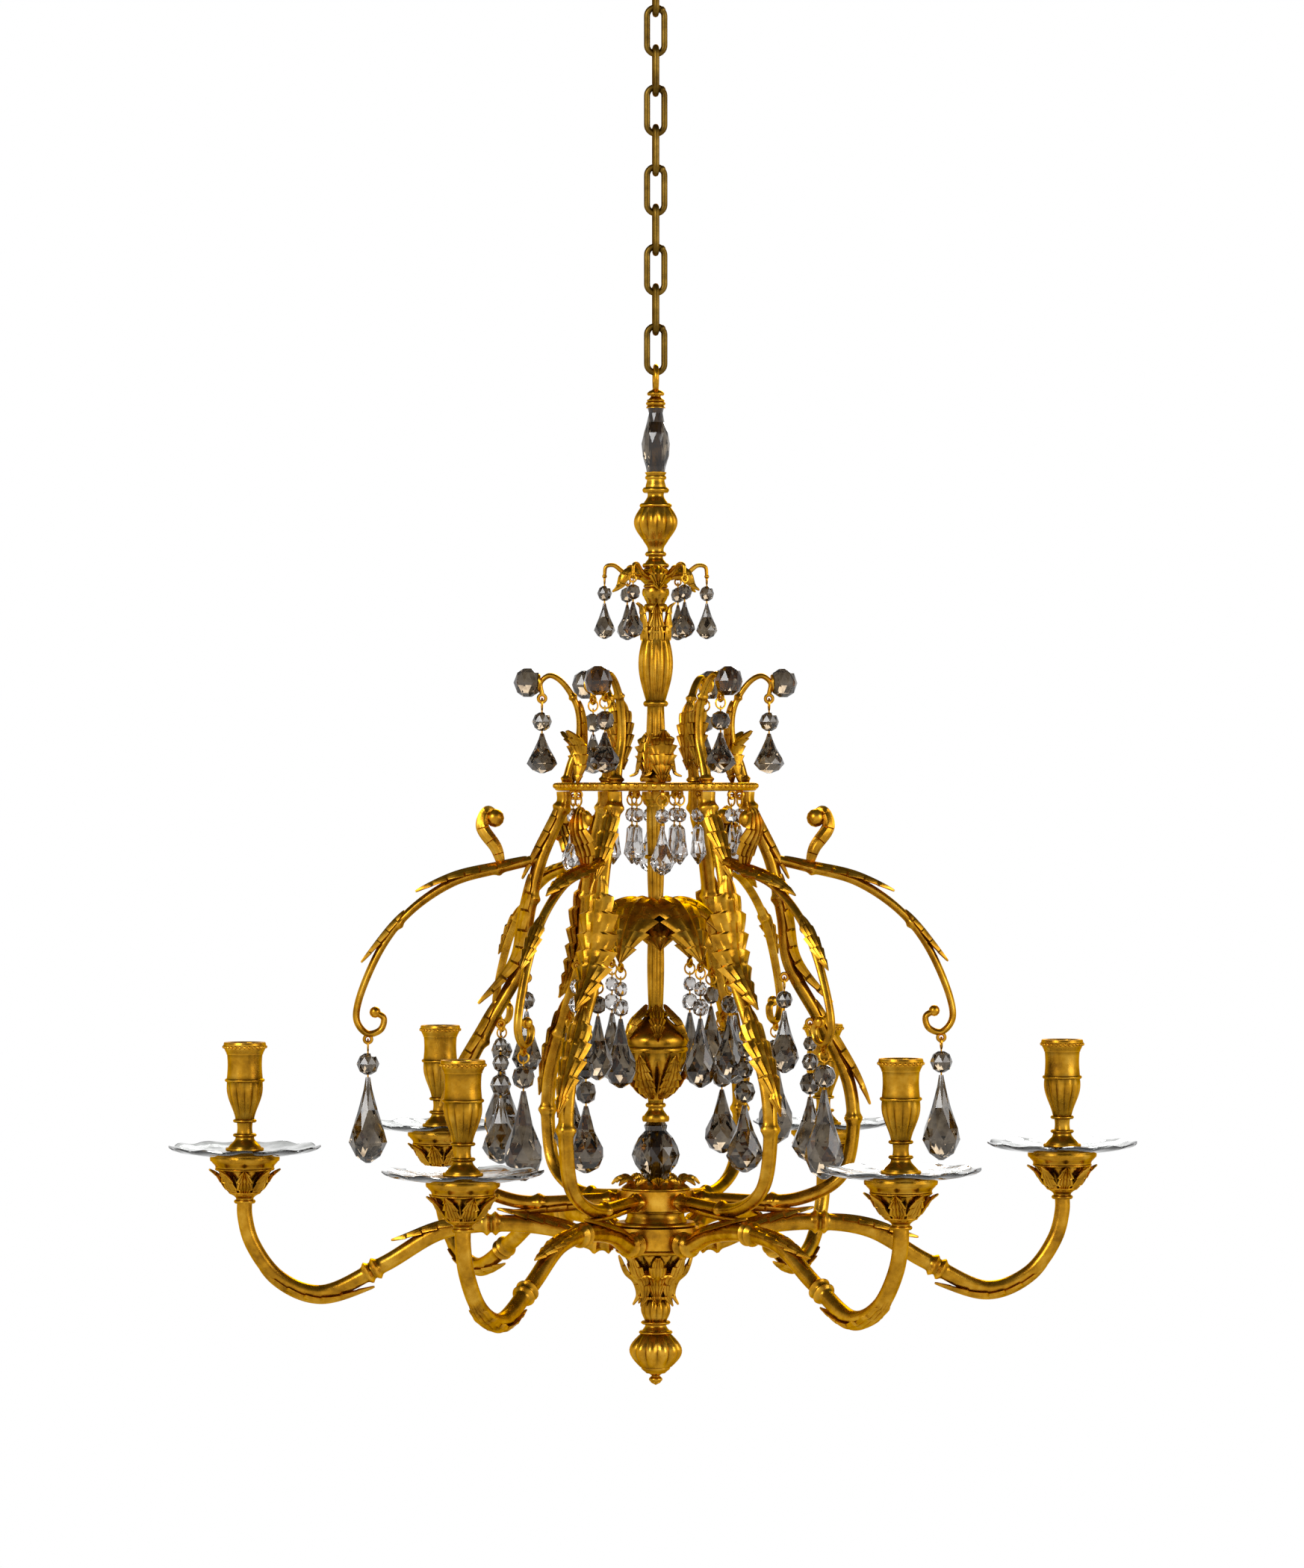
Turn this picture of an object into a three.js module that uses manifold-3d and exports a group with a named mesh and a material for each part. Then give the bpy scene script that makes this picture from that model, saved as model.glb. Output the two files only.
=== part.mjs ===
// A six-light cage chandelier for candles, in gilt brass and cut crystal, on a link chain.
// Millimetres, +Z up. The origin is the middle of the ceiling rose's flat top.
// The first arm points along +X and the others follow every sixth of a turn.

import * as THREE from 'three';
import { mergeVertices } from 'three/addons/utils/BufferGeometryUtils.js';
import Module from 'manifold-3d';

const wasm = await Module();
wasm.setup();

// Fits
const SEAT = 0.3;            // air between two pieces that rest on each other
const ROD_PLAY = 0.4;        // air round the tie rod
const STUB_PLAY = 0.3;       // air round an arm's screwed stub

// Ceiling rose and hook
const ROSE_R = 34;
const ROSE_H = 9;
const ROSE_TOP_T = 2.5;      // metal left above the blind hole that the hook screws into
const ROSE_SCREW_R = 2.3;
const ROSE_SCREW_CIRCLE_R = 23;
const HOOK_WIRE = 3;         // radius of the hook's wire
const HOOK_R = 9;            // radius of the hook's bend
const HOOK_SHANK = 20;       // shank below the rose, down to the bend
const HOOK_COLLAR_R = 7.5;
const HOOK_COLLAR_H = 5;

// Chain
const CHAIN_LINKS = 10;
const LINK_PITCH = 28;
const LINK_WIRE = 2.2;       // radius of the link's wire
const LINK_BEND = 6.1;       // radius of the round ends, at the wire's middle

// Pieces threaded on the tie rod, from the top down
const LOOP_R = 8.5;
const LOOP_WIRE = 1.8;
const LOOP_BOSS_R = 6;
const LOOP_BOSS_H = 8;
const ROD_R = 3;
const ROD_SCREWED = 5;       // rod inside the loop's boss
const NECK_CRYSTAL_H = 54;
const NECK_CRYSTAL_R = 10;
const VASE_H = 62;
const VASE_R = 14;
const CROWN_H = 14;
const CROWN_BOSS_R = 11;
const CROWN_REACH = 36;      // radius of the crown's hook tips
const CROWN_LIFT = 9;        // the hooks' highest point above the crown's middle
const CROWN_WIRE = 2.2;
const CROWN_WIRE_TIP = 1.3;
const STEM_H = 136;
const STEM_R = 10;
const CORONA_R = 65;         // middle of the corona's band
const CORONA_BAND = 12;      // width of the band
const CORONA_H = 6;
const CORONA_EDGE = 2;       // bevel on the band's outer edge
const CORONA_SPOKE_W = 7;
const CORONA_BOSS_R = 11;
const CORONA_TIP_R = 80;     // radius of the scroll tips
const CORONA_TIP_RISE = 75;  // scroll tops above the band
const CORONA_SWAY = 11;      // how far a scroll leans in before it turns out
const CORONA_CURL_R = 5;
const CORONA_EYE_DROP = 6;   // eye below the curl
const CORONA_SCROLL_THICK = 3.6;
const CORONA_SCROLL_WIDE = 4.2;
const COLUMN_H = 232;
const COLUMN_R = 6.5;
const COLUMN_VASE_R = 23;
const COLUMN_RING_UP = 68;   // turned ring above the column's vase
const COLUMN_RING_H = 16;
const COLUMN_CAP_H = 10;
const CORE_CRYSTAL_R = 17;

// Cage ribs, measured from the corona's underside
const CAGE_H = 287;          // down to the middle of the rib's foot
const SHOULDER_R = 90;
const SHOULDER_DROP = 88;
const BELLY_R = 139;
const BELLY_DROP = 232;
const RIB_THICK = 4.5;       // half thickness in the rib's own plane
const RIB_WIDE = 5.2;        // half width across it
const RIB_HEAD = 8;          // straight stretch under the corona
const RIB_FOOT = 14;         // straight stretch at the hub

// Outer scrolls that branch from the ribs
const SCROLL_DROP = 50;      // where the scroll leaves the rib, below the corona
const SCROLL_REACH = 210;
const SCROLL_TIP_DROP = 150; // where it is widest
const SCROLL_CURL_R = 10;
const SCROLL_THICK = 3.4;
const SCROLL_WIDE = 3.8;
const SCROLL_ROOT = 10;      // length of the scroll's root inside the rib
const LEAF_R = 126;          // tip of the small leaf curl
const LEAF_DROP = 18;
const LEAF_CURL = 15;        // how far the leaf curls back over itself
const LEAF_TIP = 1.4;

// Hub
const HUB_RIB_R = 27;
const HUB_ARM_R = 30;
const HUB_WAIST_R = 21;
const HUB_RIB_BAND = 8;      // half height of the faces that the ribs' feet meet
const HUB_ARM_BAND = 9;      // half height of the faces that the arms meet
const HUB_COVE = 3;          // height of the coves beside the bands
const HUB_TOP = 12;          // hub above the middle of the ribs' feet
const HUB_TAIL = 26;         // hub below the middle of the arms' roots
const HUB_SIDES = 12;
const ARM_BELOW_RIB = 29;

// Candle arms, measured from the middle of the arm's root
const LIGHTS = 6;
const ARM_REACH = 288;
const ARM_TUBE = 6;          // radius of the tube at its root
const ARM_TUBE_END = 5;
const ARM_HUMP_R = 108;
const ARM_HUMP = 13;
const ARM_DIP_R = 235;
const ARM_DIP = 35;
const ARM_RISE = 32;
const ARM_STRAIGHT = 14;     // straight stretch at the hub
const HOLDER_H = 29;
const HOLDER_R = 24;
const HOLDER_SKIRT = 4;      // the holder reaches down over the tube's end
const HOLDER_WALL = 1.2;
const HOLDER_LIP = 3;
const STUB_R = 4;
const STUB_H = 14;

// Drip pans and candle cups
const PAN_R = 54;
const PAN_T = 3;
const PAN_RIM_T = 2;
const PAN_LIP = 5;
const PAN_FLAT_R = 28;
const CUP_H = 76;
const CUP_R = 13.5;
const CUP_RIM_R = 14.8;
const CUP_RIM_H = 2;
const CUP_FOOT_R = 13;
const CUP_FOOT_T = 2;
const CUP_NECK_R = 5.6;
const CUP_BORE_R = 11;
const CUP_BORE_DEPTH = 34;
const CUP_SOCKET = 12;       // depth of the screwed hole in the foot

// Finial
const FINIAL_H = 75;
const FINIAL_R = 17;
const FINIAL_TOP_R = 12;
const FINIAL_NECK_R = 7.5;
const FINIAL_TIP_R = 4.5;
const FINIAL_SOCKET = 14;
const ROD_IN_FINIAL = 12;

// Crystal drops and the eyes they hang in
const EYE_R = 3.8;
const EYE_HOLE_R = 1.4;
const EYE_T = 2.4;
const DROP_RING_R = 4;
const DROP_WIRE = 0.7;
const DROP_NIP = 1;          // the ring's bite into the bead
const DROP_WIRE_SUNK = 3;    // wire inside the top of the pear
const DROP_FLAT = 0.5;       // depth of a drop as a share of its width
const SCROLL_DROP_PIECE = { bead: 7, gap: 5, wide: 13.5, tall: 60 };
const CORONA_DROP_PIECE = { bead: 5, gap: 3.5, wide: 11.5, tall: 34 };

// Facets
const ROUND = 16;
const SMALL_ROUND = 10;
const WIRE_SIDES = 6;
const SCROLL_SIDES = 5;

const GILT_BRASS = { color: 0xc9a557, roughness: 0.3, metalness: 1 };
const AGED_BRASS = { color: 0x7a6432, roughness: 0.45, metalness: 1 };
const CUT_CRYSTAL = { color: 0xdfe4e6, roughness: 0.05, metalness: 0 };

// Geometry helpers

function signedVolume(geometry) {
  const position = geometry.attributes.position;
  const index = geometry.index;
  const a = new THREE.Vector3();
  const b = new THREE.Vector3();
  const c = new THREE.Vector3();
  let sum = 0;
  for (let i = 0; i < index.count; i += 3) {
    a.fromBufferAttribute(position, index.getX(i));
    b.fromBufferAttribute(position, index.getX(i + 1));
    c.fromBufferAttribute(position, index.getX(i + 2));
    sum += a.dot(b.cross(c));
  }
  return sum / 6;
}

// Merges shared corners, drops triangles that closed up, and turns the faces outwards.
function welded(geometry) {
  const bare = geometry.clone();
  bare.deleteAttribute('normal');
  bare.deleteAttribute('uv');
  const merged = mergeVertices(bare, 1e-3);
  const corners = [];
  for (let i = 0; i < merged.index.count; i += 3) {
    const [a, b, c] = [0, 1, 2].map((k) => merged.index.getX(i + k));
    if (a !== b && b !== c && c !== a) corners.push(a, b, c);
  }
  merged.setIndex(corners);
  if (signedVolume(merged) < 0) merged.setIndex(corners.reverse());
  return merged;
}

function toSolid(geometry) {
  const closed = welded(geometry);
  return new wasm.Manifold(new wasm.Mesh({
    numProp: 3,
    vertProperties: Float32Array.from(closed.attributes.position.array),
    triVerts: Uint32Array.from(closed.index.array),
  }));
}

function toGeometry(solid) {
  const mesh = solid.getMesh();
  const geometry = new THREE.BufferGeometry();
  geometry.setAttribute('position', new THREE.BufferAttribute(mesh.vertProperties, 3));
  geometry.setIndex(new THREE.BufferAttribute(mesh.triVerts, 1));
  return geometry;
}

function joined(geometries) {
  return toGeometry(geometries.map(toSolid).reduce((whole, piece) => whole.add(piece)));
}

function cutBy(geometry, tools) {
  return toGeometry(tools.map(toSolid).reduce((whole, tool) => whole.subtract(tool), toSolid(geometry)));
}

// Revolves an outline of [radius, height] points about Z.
function turned(outline, sides = ROUND) {
  const geometry = new THREE.LatheGeometry(outline.map(([r, z]) => new THREE.Vector2(r, z)), sides);
  geometry.rotateX(Math.PI / 2);
  return welded(geometry);
}

// A turned piece with a straight bore right through it.
function turnedWithBore(outline, bore, sides = ROUND) {
  const top = outline[outline.length - 1][1];
  const bottom = outline[0][1];
  return turned([[bore, bottom], ...outline, [bore, top], [bore, bottom]], sides);
}

function rod(radius, bottom, top, sides = SMALL_ROUND) {
  return turned([[0, bottom], [radius, bottom], [radius, top], [0, top]], sides);
}

// Carries an oval section along a curve in the XZ plane, closed by flat ends.
// sizeAt(t) gives the half sizes in that plane and across it.
function drawn(points, steps, sides, sizeAt) {
  const curve = new THREE.CatmullRomCurve3(points.map(([x, z]) => new THREE.Vector3(x, 0, z)));
  const position = [];
  const corners = [];
  for (let i = 0; i <= steps; i++) {
    const centre = curve.getPoint(i / steps);
    const along = curve.getTangent(i / steps);
    const [thick, wide] = sizeAt(i / steps);
    for (let k = 0; k < sides; k++) {
      const angle = (2 * Math.PI * k) / sides;
      const inPlane = thick * Math.cos(angle);
      position.push(centre.x - along.z * inPlane, wide * Math.sin(angle), centre.z + along.x * inPlane);
    }
  }
  for (let i = 0; i < steps; i++) {
    for (let k = 0; k < sides; k++) {
      const a = i * sides + k;
      const b = i * sides + ((k + 1) % sides);
      corners.push(a, b, b + sides, a, b + sides, a + sides);
    }
  }
  const last = steps * sides;
  for (let k = 1; k < sides - 1; k++) {
    corners.push(0, k + 1, k);
    corners.push(last, last + k, last + k + 1);
  }
  const geometry = new THREE.BufferGeometry();
  geometry.setAttribute('position', new THREE.Float32BufferAttribute(position, 3));
  geometry.setIndex(corners);
  return welded(geometry);
}

function mix(a, b, share) {
  return a + (b - a) * share;
}

// Heights, from the ceiling down

const hookBendZ = -ROSE_H - HOOK_SHANK - HOOK_R / 2;
const hookBottomZ = hookBendZ - HOOK_R;
const linkHeight = LINK_PITCH + 2 * LINK_WIRE + SEAT;
const chainTopZ = hookBottomZ + HOOK_WIRE + LINK_WIRE + SEAT;
const linkZ = (i) => chainTopZ - linkHeight / 2 - i * LINK_PITCH;
const loopTopZ = linkZ(CHAIN_LINKS - 1) - linkHeight / 2 + LINK_WIRE + LOOP_WIRE + SEAT;
const loopZ = loopTopZ - LOOP_R;
const bossTopZ = loopZ - LOOP_R;
const bossBottomZ = bossTopZ - LOOP_BOSS_H;
const neckTopZ = bossBottomZ - SEAT;
const vaseTopZ = neckTopZ - NECK_CRYSTAL_H - SEAT;
const crownTopZ = vaseTopZ - VASE_H - SEAT;
const stemTopZ = crownTopZ - CROWN_H - SEAT;
const coronaTopZ = stemTopZ - STEM_H - SEAT;
const coronaZ = coronaTopZ - CORONA_H;
const columnTopZ = coronaZ - SEAT;
const ribFootZ = coronaZ - SEAT - CAGE_H;
const hubTopZ = ribFootZ + HUB_TOP;
const armRootZ = ribFootZ - ARM_BELOW_RIB;
const hubBottomZ = armRootZ - HUB_TAIL;
const finialTopZ = hubBottomZ - SEAT;
const holderZ = armRootZ + ARM_RISE;
const panZ = holderZ + HOLDER_H + SEAT;
const cupZ = panZ + PAN_T + SEAT;
const facetR = (radius) => radius * Math.cos(Math.PI / HUB_SIDES);
const rodBore = ROD_R + ROD_PLAY;

// Ceiling fitting

function ceilingRose() {
  const outline = [
    [0, -ROSE_H], [ROSE_R * 0.45, -ROSE_H], [ROSE_R * 0.62, -ROSE_H * 0.8], [ROSE_R * 0.9, -ROSE_H * 0.55],
    [ROSE_R, -ROSE_H * 0.35], [ROSE_R, 0], [0, 0],
  ];
  const screwHoles = [0, 1, 2].map((k) => {
    const hole = rod(ROSE_SCREW_R, -2 * ROSE_H, ROSE_H, 8);
    hole.translate(ROSE_SCREW_CIRCLE_R, 0, 0);
    hole.rotateZ((2 * Math.PI * k) / 3);
    return hole;
  });
  const hookHole = rod(HOOK_WIRE + SEAT, -2 * ROSE_H, -ROSE_TOP_T);
  return cutBy(turned(outline), [...screwHoles, hookHole]);
}

// An open hook: a straight shank, then a round bend that stops short of it.
function ceilingHook() {
  const bend = [60, 20, -20, -55, -90, -125, -160, -195].map((degrees) => {
    const angle = (degrees * Math.PI) / 180;
    return [HOOK_R * Math.cos(angle), hookBendZ + HOOK_R * Math.sin(angle)];
  });
  const shankEnd = -ROSE_H - HOOK_COLLAR_H - SEAT;
  const path = [[0, -ROSE_TOP_T - SEAT], [0, shankEnd], [0, hookBendZ + 1.75 * HOOK_R], ...bend];
  const wire = drawn(path, 20, WIRE_SIDES, () => [HOOK_WIRE, HOOK_WIRE]);
  const collar = rod(HOOK_COLLAR_R, shankEnd, -ROSE_H - SEAT, 6);
  return joined([wire, collar]);
}

// Chain

// A stadium of round wire in the XZ plane: half circles at the ends, straight between them.
function chainLink() {
  const halfStraight = linkHeight / 2 - LINK_BEND;
  const bendSteps = 4;
  const position = [];
  const corners = [];
  const rings = 2 * (bendSteps + 1);
  for (let i = 0; i < rings; i++) {
    const upper = i <= bendSteps;
    const turn = (Math.PI * (upper ? i : i - 1)) / bendSteps;
    for (let k = 0; k < WIRE_SIDES; k++) {
      const angle = (2 * Math.PI * k) / WIRE_SIDES;
      const reach = LINK_BEND + LINK_WIRE * Math.cos(angle);
      const z = (upper ? halfStraight : -halfStraight) + reach * Math.sin(turn);
      position.push(reach * Math.cos(turn), LINK_WIRE * Math.sin(angle), z);
    }
  }
  for (let i = 0; i < rings; i++) {
    for (let k = 0; k < WIRE_SIDES; k++) {
      const a = i * WIRE_SIDES + k;
      const b = i * WIRE_SIDES + ((k + 1) % WIRE_SIDES);
      const c = ((i + 1) % rings) * WIRE_SIDES + k;
      const d = ((i + 1) % rings) * WIRE_SIDES + ((k + 1) % WIRE_SIDES);
      corners.push(a, b, d, a, d, c);
    }
  }
  const geometry = new THREE.BufferGeometry();
  geometry.setAttribute('position', new THREE.Float32BufferAttribute(position, 3));
  geometry.setIndex(corners);
  return welded(geometry);
}

function hangingLoop() {
  const ring = new THREE.TorusGeometry(LOOP_R, LOOP_WIRE, WIRE_SIDES, 16);
  ring.rotateX(Math.PI / 2);
  ring.translate(0, 0, loopZ);
  const boss = rod(LOOP_BOSS_R, bossBottomZ, bossTopZ);
  const socket = rod(rodBore, bossBottomZ - 1, bossBottomZ + ROD_SCREWED + 1);
  return cutBy(joined([ring, boss]), [socket]);
}

// Pieces on the tie rod

function neckCrystal() {
  const bottom = neckTopZ - NECK_CRYSTAL_H;
  const at = (share) => bottom + NECK_CRYSTAL_H * share;
  const outline = [
    [NECK_CRYSTAL_R * 0.6, bottom], [NECK_CRYSTAL_R * 0.72, at(0.12)], [NECK_CRYSTAL_R, at(0.4)],
    [NECK_CRYSTAL_R * 0.85, at(0.65)], [NECK_CRYSTAL_R * 0.5, at(0.88)], [NECK_CRYSTAL_R * 0.58, neckTopZ],
  ];
  return turnedWithBore(outline, rodBore, 8);
}

function topVase() {
  const bottom = vaseTopZ - VASE_H;
  const at = (share) => bottom + VASE_H * share;
  const outline = [
    [VASE_R * 0.62, bottom], [VASE_R * 0.62, at(0.06)], [VASE_R * 0.4, at(0.14)], [VASE_R * 0.48, at(0.3)],
    [VASE_R * 0.85, at(0.45)], [VASE_R, at(0.58)], [VASE_R * 0.8, at(0.72)], [VASE_R * 0.42, at(0.82)],
    [VASE_R * 0.65, at(0.9)], [VASE_R * 0.65, vaseTopZ],
  ];
  return turnedWithBore(outline, rodBore, SMALL_ROUND);
}

function topCrown() {
  const bottom = crownTopZ - CROWN_H;
  const boss = turnedWithBore([
    [CROWN_BOSS_R * 0.7, bottom], [CROWN_BOSS_R, bottom + CROWN_H * 0.3],
    [CROWN_BOSS_R, bottom + CROWN_H * 0.7], [CROWN_BOSS_R * 0.7, crownTopZ],
  ], rodBore, SMALL_ROUND);
  const middle = bottom + CROWN_H / 2;
  const path = [
    [CROWN_BOSS_R * 0.75, middle], [mix(CROWN_BOSS_R, CROWN_REACH, 0.4), middle + CROWN_LIFT * 0.33],
    [mix(CROWN_BOSS_R, CROWN_REACH, 0.75), middle + CROWN_LIFT],
    [CROWN_REACH * 0.97, middle + CROWN_LIFT * 0.9], [CROWN_REACH, middle + CROWN_LIFT * 0.22],
  ];
  const wireAt = (t) => mix(CROWN_WIRE, CROWN_WIRE_TIP, t);
  const hooks = [];
  for (let i = 0; i < LIGHTS; i++) {
    const hook = drawn(path, 8, 4, (t) => [wireAt(t), wireAt(t)]);
    hook.rotateZ((2 * Math.PI * i) / LIGHTS);
    hooks.push(hook);
  }
  return joined([boss, ...hooks]);
}

function stem() {
  const bottom = stemTopZ - STEM_H;
  const at = (share) => bottom + STEM_H * share;
  const outline = [
    [STEM_R * 1.05, bottom], [STEM_R * 1.05, at(0.03)], [STEM_R * 0.6, at(0.08)], [STEM_R * 0.55, at(0.4)],
    [STEM_R * 0.75, at(0.48)], [STEM_R, at(0.6)], [STEM_R * 0.9, at(0.8)], [STEM_R * 0.6, at(0.93)],
    [STEM_R * 0.9, at(0.97)], [STEM_R * 0.9, stemTopZ],
  ];
  return turnedWithBore(outline, rodBore, SMALL_ROUND);
}

function tieRod() {
  return rod(ROD_R, finialTopZ - ROD_IN_FINIAL, bossBottomZ + ROD_SCREWED, 8);
}

// A flat lug with a hole across the arm's plane, for a crystal's wire ring.
function eye(x, z) {
  const outline = new THREE.Shape().absarc(x, z, EYE_R, 0, 2 * Math.PI);
  outline.holes.push(new THREE.Path().absarc(x, z, EYE_HOLE_R, 0, 2 * Math.PI, true));
  const lug = new THREE.ExtrudeGeometry(outline, { depth: EYE_T, bevelEnabled: false, curveSegments: 3 });
  lug.translate(0, 0, -EYE_T / 2);
  lug.rotateX(Math.PI / 2);
  return welded(lug);
}

const coronaEye = {
  x: CORONA_TIP_R,
  z: coronaTopZ + CORONA_TIP_RISE - 2 * CORONA_CURL_R - CORONA_EYE_DROP,
};

function coronaScroll() {
  const top = coronaTopZ + CORONA_TIP_RISE;
  const path = [
    [CORONA_R - CORONA_SWAY * 0.1, coronaTopZ - CORONA_H / 2],
    [CORONA_R - CORONA_SWAY * 0.45, coronaTopZ + CORONA_TIP_RISE * 0.16],
    [CORONA_R - CORONA_SWAY, coronaTopZ + CORONA_TIP_RISE * 0.4],
    [CORONA_R - CORONA_SWAY * 0.9, coronaTopZ + CORONA_TIP_RISE * 0.7],
    [mix(CORONA_R, CORONA_TIP_R, 0.1), top - CORONA_CURL_R * 0.8], [mix(CORONA_R, CORONA_TIP_R, 0.65), top],
    [CORONA_TIP_R + 1, top - CORONA_CURL_R], [CORONA_TIP_R, coronaEye.z + EYE_R - 1],
  ];
  const tapered = (size) => (t) => size * mix(1, 0.55, t);
  const thick = tapered(CORONA_SCROLL_THICK);
  const wide = tapered(CORONA_SCROLL_WIDE);
  const bar = drawn(path, 10, SCROLL_SIDES, (t) => [thick(t), wide(t)]);
  return [bar, eye(coronaEye.x, coronaEye.z)];
}

// The corona: a band, its spokes and boss, and a scroll over each rib.
function corona() {
  const inner = CORONA_R - CORONA_BAND / 2;
  const outer = CORONA_R + CORONA_BAND / 2;
  const band = turned([
    [inner, coronaZ], [outer, coronaZ], [outer, coronaTopZ - CORONA_EDGE], [outer - CORONA_EDGE, coronaTopZ],
    [inner, coronaTopZ], [inner, coronaZ],
  ], 18);
  const boss = rod(CORONA_BOSS_R, coronaZ, coronaTopZ);
  const pieces = [band, boss];
  const spokeLength = CORONA_R - CORONA_BOSS_R / 2;
  for (let i = 0; i < LIGHTS; i++) {
    const spoke = new THREE.BoxGeometry(spokeLength, CORONA_SPOKE_W, CORONA_H * 0.6);
    spoke.translate(CORONA_R - spokeLength / 2, 0, coronaZ + CORONA_H * 0.4);
    for (const part of [spoke, ...coronaScroll()]) {
      part.rotateZ((2 * Math.PI * i) / LIGHTS);
      pieces.push(part);
    }
  }
  return cutBy(joined(pieces), [rod(rodBore, coronaZ - 1, coronaTopZ + 1)]);
}

function centreColumn() {
  const bottom = columnTopZ - COLUMN_H;
  const vaseTop = columnTopZ - COLUMN_H * 0.66;
  const at = (share) => mix(bottom, vaseTop, share);
  const ringZ = vaseTop + COLUMN_RING_UP;
  const outline = [
    [COLUMN_R * 1.4, bottom], [COLUMN_R * 1.4, at(0.08)], [COLUMN_R * 0.8, at(0.18)],
    [COLUMN_VASE_R * 0.8, at(0.42)], [COLUMN_VASE_R, at(0.66)], [COLUMN_VASE_R * 0.7, at(0.88)],
    [COLUMN_R * 0.8, vaseTop], [COLUMN_R * 0.8, ringZ - COLUMN_RING_H / 2], [COLUMN_R * 1.3, ringZ],
    [COLUMN_R * 0.8, ringZ + COLUMN_RING_H / 2],
    [COLUMN_R, columnTopZ - COLUMN_CAP_H], [COLUMN_R * 1.5, columnTopZ - COLUMN_CAP_H * 0.4],
    [COLUMN_R * 1.5, columnTopZ],
  ];
  return turnedWithBore(outline, rodBore, ROUND);
}

// Fills the rod between the column and the hub.
function coreCrystal() {
  const top = columnTopZ - COLUMN_H - SEAT;
  const bottom = hubTopZ + SEAT;
  const at = (share) => mix(bottom, top, share);
  const outline = [
    [CORE_CRYSTAL_R * 0.5, bottom], [CORE_CRYSTAL_R * 0.6, at(0.12)], [CORE_CRYSTAL_R, at(0.45)],
    [CORE_CRYSTAL_R * 0.85, at(0.7)], [CORE_CRYSTAL_R * 0.42, at(0.92)], [CORE_CRYSTAL_R * 0.5, top],
  ];
  return turnedWithBore(outline, rodBore, 8);
}

function armHub() {
  const outline = [
    [HUB_WAIST_R * 0.6, hubBottomZ], [HUB_WAIST_R * 0.85, mix(hubBottomZ, armRootZ, 0.3)],
    [HUB_ARM_R, armRootZ - HUB_ARM_BAND], [HUB_ARM_R, armRootZ + HUB_ARM_BAND],
    [HUB_WAIST_R, armRootZ + HUB_ARM_BAND + HUB_COVE], [HUB_WAIST_R, ribFootZ - HUB_RIB_BAND - HUB_COVE],
    [HUB_RIB_R, ribFootZ - HUB_RIB_BAND], [HUB_RIB_R, ribFootZ + HUB_RIB_BAND], [HUB_WAIST_R, hubTopZ],
  ];
  const hub = turnedWithBore(outline, rodBore, HUB_SIDES);
  hub.rotateZ(Math.PI / HUB_SIDES);
  return hub;
}

function finial() {
  const at = (share) => finialTopZ - FINIAL_H * share;
  const body = turned([
    [0, at(1)], [FINIAL_TIP_R * 0.55, at(0.98)], [FINIAL_TIP_R, at(0.93)], [FINIAL_R * 0.6, at(0.88)],
    [FINIAL_R * 0.92, at(0.78)],
    [FINIAL_R, at(0.68)], [FINIAL_R * 0.9, at(0.57)], [FINIAL_R * 0.55, at(0.47)], [FINIAL_NECK_R, at(0.42)],
    [FINIAL_NECK_R, at(0.2)], [FINIAL_TOP_R, at(0.1)], [FINIAL_TOP_R, finialTopZ], [0, finialTopZ],
  ], 12);
  return cutBy(body, [rod(rodBore, finialTopZ - FINIAL_SOCKET, finialTopZ + 1)]);
}

// Cage

const curlZ = coronaZ - SCROLL_TIP_DROP;
const curlBottomZ = curlZ - 2 * SCROLL_CURL_R - SCROLL_THICK * 0.6;
const scrollEye = { x: SCROLL_REACH - 0.8 * SCROLL_CURL_R, z: curlBottomZ - EYE_R + 2 };

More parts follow.
